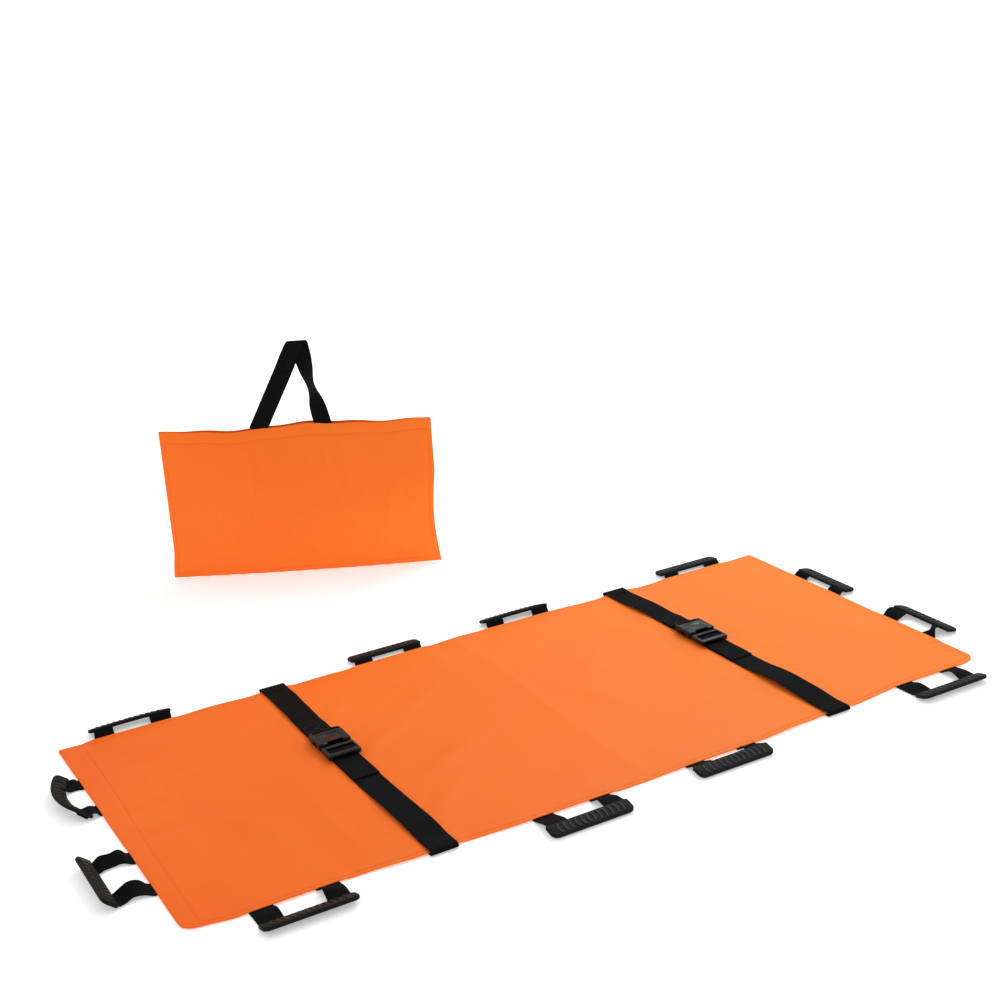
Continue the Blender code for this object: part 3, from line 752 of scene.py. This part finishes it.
def moulded_rubber(name, hex_colour, roughness):
    """Moulded rubber: satin black, with the mould's fine spark-eroded grain of about 0.5 mm."""
    finish, tree, shader = new_finish(name, IOR=1.52, Specular_IOR_Level=0.14)
    place = add(tree, "ShaderNodeTexCoord").outputs["Object"]
    grain = add(tree, "ShaderNodeTexNoise", {"Vector": place, "Scale": 1500.0, "Detail": 2.0,
                                             "Roughness": 0.5}).outputs["Fac"]
    handled = add(tree, "ShaderNodeTexNoise", {"Vector": place, "Scale": 30.0, "Detail": 4.0,
                                               "Roughness": 0.6}).outputs["Fac"]
    dusty = add(tree, "ShaderNodeMapRange", {"Value": handled, "From Min": 0.45,
                                             "From Max": 0.75, "To Max": 0.55}).outputs[0]
    colour = mix_colours(tree, dusty, linear(hex_colour), linear("#151617"))
    tree.links.new(colour, shader.inputs["Base Color"])
    polish = add(tree, "ShaderNodeMapRange", {"Value": handled, "To Min": roughness - 0.1,
                                              "To Max": roughness + 0.12}).outputs[0]
    tree.links.new(polish, shader.inputs["Roughness"])
    bump = add(tree, "ShaderNodeBump", {"Height": grain, "Strength": 0.3, "Distance": 0.0002})
    tree.links.new(bump.outputs[0], shader.inputs["Normal"])
    return finish


def select_where(piece, kind, test):
    """Select the edges or faces of the piece in edit mode that pass a test of place."""
    bpy.ops.object.mode_set(mode="OBJECT")
    bpy.context.tool_settings.mesh_select_mode = (False, kind == "edges", kind == "polygons")
    mesh = piece.data
    for group in (mesh.vertices, mesh.edges, mesh.polygons):
        for part in group:
            part.select = False
    for part in getattr(mesh, kind):
        if test(part):
            part.select = True
    bpy.ops.object.mode_set(mode="EDIT")


def edge_ends(piece, edge):
    return [piece.data.vertices[index].co for index in edge.vertices]


def block(name, size, place, finish):
    """A block to start a moulded piece from, with its place in its mesh."""
    bpy.ops.object.select_all(action="DESELECT")
    bpy.ops.mesh.primitive_cube_add(size=1.0, location=place, scale=size)
    piece = bpy.context.object
    piece.name = name
    piece.data.name = name
    bpy.ops.object.transform_apply(location=True, rotation=True, scale=True)
    piece.data.materials.append(finish)
    return piece


def bevel_where(piece, test, width, segments):
    """Round the edges of a piece whose two ends pass a test."""
    select_where(piece, "edges", lambda edge: test(*edge_ends(piece, edge)))
    bpy.ops.mesh.bevel(offset=width, segments=segments, affect="EDGES", profile=0.5)
    bpy.ops.object.mode_set(mode="OBJECT")


GRIP_LENGTH = 0.158
GRIP_WIDTH = 0.030
GRIP_THICK = 0.0066
OUTER_CORNER = 0.012
INNER_CORNER = 0.004
GRIP_EDGE = 0.0022
rubber_body = moulded_rubber("moulded_rubber_black", "#08090A", 0.60)
# The ribs are the same black rubber, made paler here as a painted highlight.
rib_rubber_painted_highlight = moulded_rubber("moulded_rubber_rib_tops", "#232427", 0.45)

grip_form = block("grip_form", (GRIP_LENGTH, GRIP_WIDTH, GRIP_THICK), (0, GRIP_WIDTH / 2, 0),
                  rubber_body)
grip_form.data.materials.append(rib_rubber_painted_highlight)
bevel_where(grip_form, lambda a, b: abs(a.z - b.z) > 0.005 and a.y > 0.025,
            OUTER_CORNER, 7)
bevel_where(grip_form, lambda a, b: abs(a.z - b.z) > 0.005 and a.y < 0.001,
            INNER_CORNER, 4)
bevel_where(grip_form, lambda a, b: abs(a.z - b.z) < 0.0001, GRIP_EDGE, 3)
# Cuts across the grip let it bow with the ribs that stand on it.
CUT_SPACING = 0.0115
bpy.ops.object.mode_set(mode="EDIT")
for step in range(-5, 6):
    bpy.ops.mesh.select_all(action="SELECT")
    bpy.ops.mesh.bisect(plane_co=(CUT_SPACING * step, 0, 0), plane_no=(1, 0, 0))
bpy.ops.object.mode_set(mode="OBJECT")
bpy.ops.object.select_all(action="DESELECT")

RIB_COUNT = 12
RIB_PITCH = 0.0112
RIB_WIDTH = 0.0044
RIB_RADIUS = 0.020
RIB_TALL = 0.0020
RIB_LIFT = 0.0001
RIB_SPREAD = math.radians(66)
ribs = []
for index in range(RIB_COUNT):
    along = (index - (RIB_COUNT - 1) / 2) * RIB_PITCH
    outward = 1 if along > 0 else -1
    centre = Vector((along - outward * RIB_RADIUS, GRIP_WIDTH / 2, GRIP_THICK / 2))
    bpy.ops.mesh.primitive_plane_add(size=1.0, location=(0, 0, 0))
    rib = bpy.context.object
    bpy.ops.object.mode_set(mode="EDIT")
    bpy.ops.mesh.select_all(action="SELECT")
    bpy.ops.transform.resize(value=(RIB_WIDTH, RIB_TALL, 1.0))
    bpy.ops.object.mode_set(mode="OBJECT")
    turn = (math.pi if outward < 0 else 0.0) - RIB_SPREAD / 2
    rib.data.transform(Matrix.Translation(centre) @ Matrix.Rotation(turn, 4, "Z")
                       @ Matrix.Translation((RIB_RADIUS, 0, RIB_LIFT))
                       @ Matrix.Rotation(math.radians(90), 4, "X"))
    bpy.ops.object.mode_set(mode="EDIT")
    bpy.ops.mesh.select_all(action="SELECT")
    bpy.ops.mesh.spin(steps=8, angle=-RIB_SPREAD, center=centre, axis=(0, 0, 1))
    bpy.ops.mesh.select_all(action="SELECT")
    bpy.ops.mesh.remove_doubles(threshold=0.00001)
    bpy.ops.mesh.normals_make_consistent(inside=False)
    bpy.ops.object.mode_set(mode="OBJECT")
    ribs.append(rib)
rib_set = joined(ribs, "grip_ribs")
round_over = rib_set.modifiers.new("round_over", "BEVEL")
round_over.width = 0.0009
round_over.segments = 2
round_over.limit_method = "ANGLE"
bpy.ops.object.modifier_apply(modifier=round_over.name)
rib_set.data.materials.clear()
rib_set.data.materials.append(rubber_body)
rib_set.data.materials.append(rib_rubber_painted_highlight)
# Every face of the ribs takes the paler rubber: a painted highlight.
for face in rib_set.data.polygons:
    face.material_index = 1
joined([grip_form, rib_set], "grip_form")
bpy.ops.object.shade_smooth_by_angle(angle=math.radians(38))

for name, (bearing, leg, rise, tip, bow, *_) in HANDLE_LAYS.items():
    grip = bpy.data.objects.new(name + "_ribbed_grip", grip_form.data.copy())
    bpy.context.scene.collection.objects.link(grip)
    lean = Matrix.Translation((0, leg, rise)) @ Matrix.Rotation(math.radians(tip), 4, "X")
    grip.data.transform(lean)
    for point in grip.data.vertices:
        point.co.y += grip_bow(point.co.x, bow)
    grip.data.transform(handle_frame(name, bearing))
    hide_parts(name + "_grip")
    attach(grip, name)
bpy.data.objects.remove(grip_form)


# ---- The chest and leg straps ----
# Polypropylene tape 50 mm wide.  One half is sewn round the socket's bar and runs right under the
# sheet.  The other comes up round the right edge, threads the plug's adjuster and ends free.

STRAP_TAPE = 0.050
STRAP_PANELS = {"leg_strap": "leg_panel", "chest_strap": "torso_panel"}
# How far each run lifts off the sheet, how far aside its far end lies, and where its waves fall.
LEFT_RUNS = {"leg_strap": (0.0022, 0.0020, 0.001), "chest_strap": (0.0026, -0.0080, 0.004)}
RIGHT_RUNS = {"leg_strap": (0.0034, 0.0015, 0.000), "chest_strap": (0.0070, 0.0, 0.002)}


def strap_knot(place, y, z, aside=0.0, roll=0.0):
    """A station of a strap: how far aside it lies, and how far one edge of it lifts."""
    return (Vector((place + aside, y, z)), Vector((STRAP_TAPE / 2, 0, roll)))


def strap_wrap(place, edge, side, aside):
    """Round the edge of the sheet, from underneath to the top, as a soft thick turn."""
    turn = ((-0.012, 0.0010), (0.002, 0.0013), (0.0068, 0.0024), (0.0084, 0.0046),
            (0.0066, 0.0072), (0.0015, 0.0088), (-0.008, 0.0086))
    return [strap_knot(place, side * (edge + out), up, aside) for out, up in turn]


def strap_waves(place, start, stop, lift, aside, phase):
    """A loose run over the sheet, with two or three shallow waves in it."""
    knots = []
    for step in range(1, 12):
        share = step / 12
        swell = math.sin(math.pi * share)
        wave = 0.0011 * math.sin(7.5 * share + phase * 900)
        rise = lift * swell ** 2 + wave * swell
        roll = 0.0012 * math.sin(5.0 * share + 1.0) * swell
        knots.append(strap_knot(place, start + (stop - start) * share,
                                0.0068 + max(rise, -0.0003) + abs(roll),
                                aside * (1 - ease(0.25, 1.0, share)), roll))
    return knots


def row_across(stations, y):
    """A row of stitches across a strap, where it lies on top, at a place across the sheet."""
    upper = [middle for middle, across in stations if middle.z > 0.005]
    middle = min(upper, key=lambda middle: abs(middle.y - y))
    return [middle + Vector((-0.022, 0, 0.0011)), middle + Vector((0.022, 0, 0.0011))]


for strap, place in STRAP_PLACES.items():
    panel = STRAP_PANELS[strap]
    lift, aside, phase = LEFT_RUNS[strap]
    knots = [strap_knot(place, y, 0.0009, aside * ease(0.0, 0.3, y))
             for y in (-0.284, -0.15, 0.0, 0.15, 0.30)]
    knots += strap_wrap(place, SHEET_EDGE, 1, aside)
    knots += strap_waves(place, 0.340, 0.160, lift, aside, phase)
    knots += [strap_knot(place, y, z) for y, z in (
        (0.148, 0.0090), (0.130, 0.0088), (0.118, 0.0096), (0.108, 0.0128), (0.100, 0.0176),
        (0.0940, 0.0203), (0.0890, 0.0196), (0.0863, 0.0152), (0.0890, 0.0108),
        (0.0950, 0.0098), (0.104, 0.0080), (0.118, 0.0068), (0.136, 0.0066), (0.149, 0.0066))]
    stations = smooth_run(knots, 0.0030)
    tape = webbing(strap + "_socket_tape", stations, black_webbing)
    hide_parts(strap + "_socket_webbing")
    seams = crossed_box(place, 0.112, 0.145, 0.0100, 0.020)
    seams.append(row_across(stations, 0.336))
    stitches = sew(strap + "_socket_stitches", seams, black_thread)
    for piece in (tape, stitches):
        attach(piece, panel)

    lift, aside, phase = RIGHT_RUNS[strap]
    edge = SHEET_EDGE + right_bow(place)
    knots = [strap_knot(place, -0.286, 0.0009, aside), strap_knot(place, -0.320, 0.0009, aside)]
    knots += strap_wrap(place, edge, -1, aside)
    knots += strap_waves(place, 0.012 - edge, -0.120, lift, aside, phase)
    knots += [strap_knot(place, y, z) for y, z in (
        (-0.110, 0.0066), (-0.060, 0.0064), (0.000, 0.0063), (0.014, 0.0066), (0.0205, 0.0084),
        (0.0226, 0.0122), (0.0208, 0.0156), (0.0160, 0.0166), (0.0110, 0.0158),
        (0.0082, 0.0126), (0.0060, 0.0100), (0.0010, 0.0090), (-0.0080, 0.0088),
        (-0.0300, 0.0086), (-0.0600, 0.0092), (-0.0900, 0.0088))]
    stations = smooth_run(knots, 0.0030)
    tape = webbing(strap + "_plug_tape", stations, black_webbing)
    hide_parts(strap + "_plug_webbing", strap + "_tail")
    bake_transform(tape)
    row = row_across(stations, 0.014 - edge)
    stitches = sew(strap + "_edge_stitches", [row], black_thread)
    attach(stitches, panel)


# ---- The side-release buckles ----
# Black acetal.  The socket is a flattened box with a mouth, a window at each side and a bar for
# its webbing.  The plug has two slots with a bar between, a guide tongue, and two barbed arms.


def moulded_acetal(name, hex_colour):
    """Injection moulded acetal: glossy black, with faint flow marks in its colour and gloss."""
    finish, tree, shader = new_finish(name, IOR=1.48, Specular_IOR_Level=0.24)
    place = add(tree, "ShaderNodeTexCoord").outputs["Object"]
    flow = add(tree, "ShaderNodeTexNoise", {"Vector": place, "Scale": 60.0, "Detail": 3.0,
                                            "Roughness": 0.5}).outputs["Fac"]
    polish = add(tree, "ShaderNodeMapRange", {"Value": flow, "To Min": 0.16,
                                              "To Max": 0.34}).outputs[0]
    tree.links.new(polish, shader.inputs["Roughness"])
    colour = mix_colours(tree, flow, linear(hex_colour), linear("#0C0D0E"))
    tree.links.new(colour, shader.inputs["Base Color"])
    bump = add(tree, "ShaderNodeBump", {"Height": flow, "Strength": 0.15, "Distance": 0.0003})
    tree.links.new(bump.outputs[0], shader.inputs["Normal"])
    return finish


def combine(piece, other, operation):
    """Cut a block away from a moulded piece, or join one to it."""
    change = piece.modifiers.new("change", "BOOLEAN")
    change.operation = operation
    change.solver = "EXACT"
    change.object = other
    take_up(piece)
    bpy.ops.object.modifier_apply(modifier=change.name)
    bpy.data.objects.remove(other)


def span_block(name, low, high, finish):
    """A block between two corners."""
    low, high = Vector(low), Vector(high)
    return block(name, tuple(high - low), tuple((low + high) / 2), finish)


def carve(piece, low, high):
    combine(piece, span_block("cutter", low, high, black_acetal), "DIFFERENCE")


def soften_edges(piece, width):
    """Take the sharpness off every edge that the cuts left."""
    take_up(piece)
    soften = piece.modifiers.new("soften", "BEVEL")
    soften.width = width
    soften.segments = 2
    soften.limit_method = "ANGLE"
    soften.angle_limit = math.radians(50)
    bpy.ops.object.modifier_apply(modifier=soften.name)
    bpy.ops.object.shade_smooth_by_angle(angle=math.radians(35))


def is_upright(a, b):
    return abs(a.z - b.z) > 0.003


def is_level(a, b):
    return abs(a.z - b.z) < 0.0001


MOULD_EDGE = 0.0004
black_acetal = moulded_acetal("moulded_acetal_black", "#060607")

socket_form = span_block("socket_form", (-0.0315, 0.0385, 0.0082), (0.0315, 0.0945, 0.0227),
                         black_acetal)
bevel_where(socket_form, lambda a, b: is_upright(a, b) and a.y > 0.09, 0.0075, 5)
bevel_where(socket_form, lambda a, b: is_upright(a, b) and a.y < 0.04, 0.0050, 4)
bevel_where(socket_form, is_level, 0.0036, 4)
# In turn: its mouth, its side windows, the notch for a thumb, the sunk panel on top, the slot
# for its webbing, and the room over and under the bar behind that slot.
for low, high in (((-0.0245, 0.0285, 0.0105), (0.0245, 0.0800, 0.0190)),
                  ((-0.0500, 0.0520, 0.0115), (0.0500, 0.0700, 0.0180)),
                  ((-0.0150, 0.0300, 0.0180), (0.0150, 0.0440, 0.0300)),
                  ((-0.0160, 0.0500, 0.0221), (0.0160, 0.0770, 0.0300)),
                  ((-0.0255, 0.0835, 0.0000), (0.0255, 0.0885, 0.0500)),
                  ((-0.0255, 0.0835, 0.0177), (0.0255, 0.1200, 0.0500)),
                  ((-0.0255, 0.0835, 0.0000), (0.0255, 0.1200, 0.0127))):
    carve(socket_form, low, high)
soften_edges(socket_form, MOULD_EDGE)

plug_form = span_block("plug_form", (-0.0315, -0.0055, 0.0087), (0.0315, 0.0378, 0.0187),
                       black_acetal)
bevel_where(plug_form, lambda a, b: is_upright(a, b) and a.y < 0.0, 0.0050, 4)
bevel_where(plug_form, lambda a, b: is_upright(a, b) and a.y > 0.03, 0.0070, 5)
bevel_where(plug_form, is_level, 0.0024, 3)
# In turn: its two slots, the room over and under the bar between them, and under the near bar.
for low, high in (((-0.0262, 0.0190, 0.0000), (0.0262, 0.0260, 0.0500)),
                  ((-0.0262, 0.0050, 0.0000), (0.0262, 0.0110, 0.0500)),
                  ((-0.0262, 0.0100, 0.0150), (0.0262, 0.0200, 0.0500)),
                  ((-0.0262, 0.0100, 0.0000), (0.0262, 0.0200, 0.0112)),
                  ((-0.0262, -0.0200, 0.0000), (0.0262, 0.0060, 0.0104))):
    carve(plug_form, low, high)
tongue = span_block("tongue", (-0.0065, 0.0300, 0.0115), (0.0065, 0.0780, 0.0155), black_acetal)
bevel_where(tongue, lambda a, b: is_upright(a, b) and a.y > 0.07, 0.0030, 3)
combine(plug_form, tongue, "UNION")
soften_edges(plug_form, MOULD_EDGE)

latch_form = span_block("latch_form", (0.0150, 0.0386, 0.0118), (0.0215, 0.0755, 0.0160),
                        black_acetal)
bevel_where(latch_form, lambda a, b: is_upright(a, b) and a.y > 0.07, 0.0028, 3)
barb = span_block("barb", (0.0170, 0.0535, 0.0120), (0.0300, 0.0685, 0.0158), black_acetal)
bevel_where(barb, lambda a, b: is_upright(a, b) and a.x > 0.029 and a.y > 0.06, 0.0080, 5)
bevel_where(barb, lambda a, b: is_upright(a, b) and a.x > 0.029 and a.y < 0.06, 0.0015, 3)
combine(latch_form, barb, "UNION")
soften_edges(latch_form, MOULD_EDGE)

for strap, place in STRAP_PLACES.items():
    panel = STRAP_PANELS[strap]
    for form, part, side in ((socket_form, "socket", 1), (plug_form, "plug", 1),
                             (latch_form, "latch_right", 1), (latch_form, "latch_left", -1)):
        piece = bpy.data.objects.new(f"{strap}_{part}_shell", form.data.copy())
        bpy.context.scene.collection.objects.link(piece)
        if side < 0:
            piece.data.transform(Matrix.Scale(-1, 4, (1, 0, 0)))
            piece.data.flip_normals()
        piece.data.transform(Matrix.Translation((place, 0, 0)))
        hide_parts(f"{strap}_{part}")
        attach(piece, panel if part == "socket" else f"{strap}_{part}")
for form in (socket_form, plug_form, latch_form):
    bpy.data.objects.remove(form)


# ---- The pouch ----
# The folded stretcher packs into it.  Two panels of the sheet's fabric, sewn at the sides and
# bottom and turned over at the mouth, so soft that it slumps, with a loop of tape to carry it.

POUCH_HALF = 0.31
POUCH_HIGH = 0.353
POUCH_STITCH_OUT = 0.0016
POUCH_PLACE = Matrix.Translation((-0.05, 0.92, 0.0)) @ Matrix.Rotation(math.radians(-28), 4, "Z")


def pouch_swell(u, v, side):
    """How far a panel stands out from the seams, with the soft folds of an empty bag."""
    swell = (1 - abs(u) ** 3) * (0.028 * math.sin(math.pi * v) + 0.008 * v)
    folds = 0.0
    for middle, lean, low, high, width, rise in (
            (-0.62, 0.20, 0.05, 0.75, 0.050, 0.0050), (-0.30, -0.16, 0.30, 1.00, 0.045, 0.0034),
            (0.05, 0.10, 0.10, 0.60, 0.060, 0.0040), (0.34, -0.22, 0.35, 1.05, 0.040, 0.0040),
            (0.66, 0.14, 0.02, 0.70, 0.045, 0.0046), (0.86, 0.05, 0.20, 0.95, 0.035, 0.0030)):
        if low < v < high:
            share = math.sin(math.pi * (v - low) / (high - low))
            offset = (u - middle - lean * (v - 0.5)) / width
            folds += rise * share * math.exp(-offset * offset)
    pucker = 0.0016 * math.sin(46.0 * u + side) * math.exp(-v / 0.07)
    pucker += 0.0011 * math.sin(60.0 * v) * math.exp(-(1 - abs(u)) / 0.05)
    slack = 0.0035 * math.sin(6.5 * u + 1.2 * side) * ease(0.55, 1.0, v)
    return max(0.0006 + swell + (folds + pucker + slack) * (1 - u ** 6), 0.0006)


def pouch_spot(u, v, side, out=0.0):
    """A place on a pouch panel's face."""
    along = u * POUCH_HALF
    along -= 0.007 * ease(0.60, 1.0, -u) * (1 - ease(0.0, 0.22, v))
    along -= 0.009 * ease(0.55, 1.0, u) * math.sin(math.pi * min(v * 1.6, 1.0))
    up = v * POUCH_HIGH
    up += (0.0038 * math.sin(5.2 * u + 0.8) + 0.0014 * math.sin(17.0 * u)) * ease(0.5, 1.0, v)
    up += 0.0025 * u * u * (1 - v)
    depth = side * (pouch_swell(u, v, side) + out)
    return POUCH_PLACE @ Vector((along, depth, up + 0.0004))


def pouch_panel(name, side):
    """One panel, both its faces, thicker in the hem at the mouth."""
    columns = [-1 + 2 * step / 110 for step in range(111)]
    rows = [step / 64 * 0.92 for step in range(64)]
    rows += [0.92, 0.926, 0.930, 0.934, 0.945, 0.965, 0.985, 0.996, 1.0]
    points, spots = [], []
    for layer in (0, 1):
        for u in columns:
            for v in rows:
                hem = 0.0007 * ease(0.928, 0.932, v) - 0.0006 * math.exp(-((v - 0.93) / 0.003) ** 2)
                out = (0.0014 + hem) if layer else 0.0
                points.append(pouch_spot(u, v, side, out))
                spots.append((u * POUCH_HALF, v * POUCH_HIGH))
    faces = []
    tall, wide = len(rows), len(columns)
    half = tall * wide
    for column in range(wide - 1):
        for row in range(tall - 1):
            corner = column * tall + row
            ring = (corner, corner + tall, corner + tall + 1, corner + 1)
            faces.append(ring[::-1] if side < 0 else ring)
            outer = tuple(half + index for index in ring)
            faces.append(outer if side < 0 else outer[::-1])
    for corner, after in rim_steps(wide, tall):
        ring = (corner, after, half + after, half + corner)
        faces.append(ring[::-1] if side < 0 else ring)
    uvs = [spots[point] for face in faces for point in face]
    return new_piece(name, points, faces, [orange_fabric], uvs)


for name, side, node in (("pouch_front_panel", -1, "pouch_front"),
                         ("pouch_back_panel", 1, "pouch_back")):
    panel = pouch_panel(name, side)
    level = [-0.97 + 1.94 * step / 160 for step in range(161)]
    upright = [0.03 + 0.89 * step / 90 for step in range(91)]
    runs = [[pouch_spot(u, 0.930, side, POUCH_STITCH_OUT) for u in level],
            [pouch_spot(u, 0.030, side, POUCH_STITCH_OUT) for u in level]]
    runs += [[pouch_spot(u, v, side, POUCH_STITCH_OUT) for v in upright] for u in (-0.97, 0.97)]
    stitching = sew(name + "_stitching", runs, orange_thread)
    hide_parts(node)
    for piece in (panel, stitching):
        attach(piece, "pouch")

# The carrying loop leans to the head end, is folded square at its top and twists in one leg.
handle_knots = []
for along, deep, up, lean, turn in (
        (-0.0850, -0.0050, 0.347, 28, 0), (-0.0610, -0.0066, 0.392, 28, 4),
        (-0.0370, -0.0090, 0.437, 28, 2), (-0.0110, -0.0100, 0.486, 26, -3),
        (0.0120, -0.0105, 0.532, 14, 0), (0.0205, -0.0095, 0.5475, 4, 0),
        (0.0235, -0.0070, 0.5505, 0, 0), (0.0262, -0.0040, 0.5480, -4, 0),
        (0.0300, -0.0034, 0.532, -12, 8), (0.0390, -0.0040, 0.486, -12, 44),
        (0.0470, -0.0055, 0.443, -12, 74), (0.0560, -0.0050, 0.400, -12, 36),
        (0.0670, -0.0050, 0.347, -12, 0)):
    heading, spin = math.radians(lean), math.radians(turn)
    level = math.cos(spin) * HANDLE_TAPE / 2
    across = Vector((level * math.cos(heading), math.sin(spin) * HANDLE_TAPE / 2,
                     -level * math.sin(heading)))
    if up > 0.53:
        across = Vector((0.0205, 0, -0.0205 * math.sin(heading) * 0.5))
    place = POUCH_PLACE @ Vector((along, deep - 0.0012, up))
    handle_knots.append((place, POUCH_PLACE.to_3x3() @ across))
pouch_loop = webbing("pouch_loop", smooth_run(handle_knots, 0.0030), black_webbing)
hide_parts("pouch_handle")
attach(pouch_loop, "pouch_handle")


# ---- The room ----
# A plain white studio: one broad floor, an even white surround, and a soft lamp high beyond the
# head end that lays faint shadows towards the viewer.

FLOOR_SIZE = 900.0
FLOOR_DROP = 0.0005
SURROUND_STRENGTH = 0.76
LAMP_SIZE = 1.6
LAMP_WATTS = 40.0
LAMP_PLACE = Vector((1.9, 1.6, 2.6))
LAMP_AIM = Vector((0.0, 0.1, 0.0))

bpy.ops.mesh.primitive_plane_add(size=FLOOR_SIZE, location=(0, 0, -FLOOR_DROP))
floor = bpy.context.object
floor.name = "studio_floor"
floor_finish, tree, shader = new_finish("painted_floor", Roughness=0.9, Specular_IOR_Level=0.1,
                                        Emission_Strength=0.34)
shader.inputs["Emission Color"].default_value = (1, 1, 1, 1)
shader.inputs["Base Color"].default_value = linear("#FDFDFC")
floor.data.materials.append(floor_finish)
floor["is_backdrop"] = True

world = bpy.data.worlds.new("studio")
bpy.context.scene.world = world
world.use_nodes = True
surround = world.node_tree.nodes["Background"]
surround.inputs["Color"].default_value = (1, 1, 1, 1)
surround.inputs["Strength"].default_value = SURROUND_STRENGTH
light = bpy.data.lights.new("soft_key", "AREA")
light.size = LAMP_SIZE
light.energy = LAMP_WATTS
lamp = bpy.data.objects.new("soft_key", light)
lamp.location = LAMP_PLACE
lamp.rotation_euler = (LAMP_AIM - LAMP_PLACE).to_track_quat("-Z", "Y").to_euler()
bpy.context.scene.collection.objects.link(lamp)
bpy.context.scene.view_settings.view_transform = "Standard"

low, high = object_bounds()
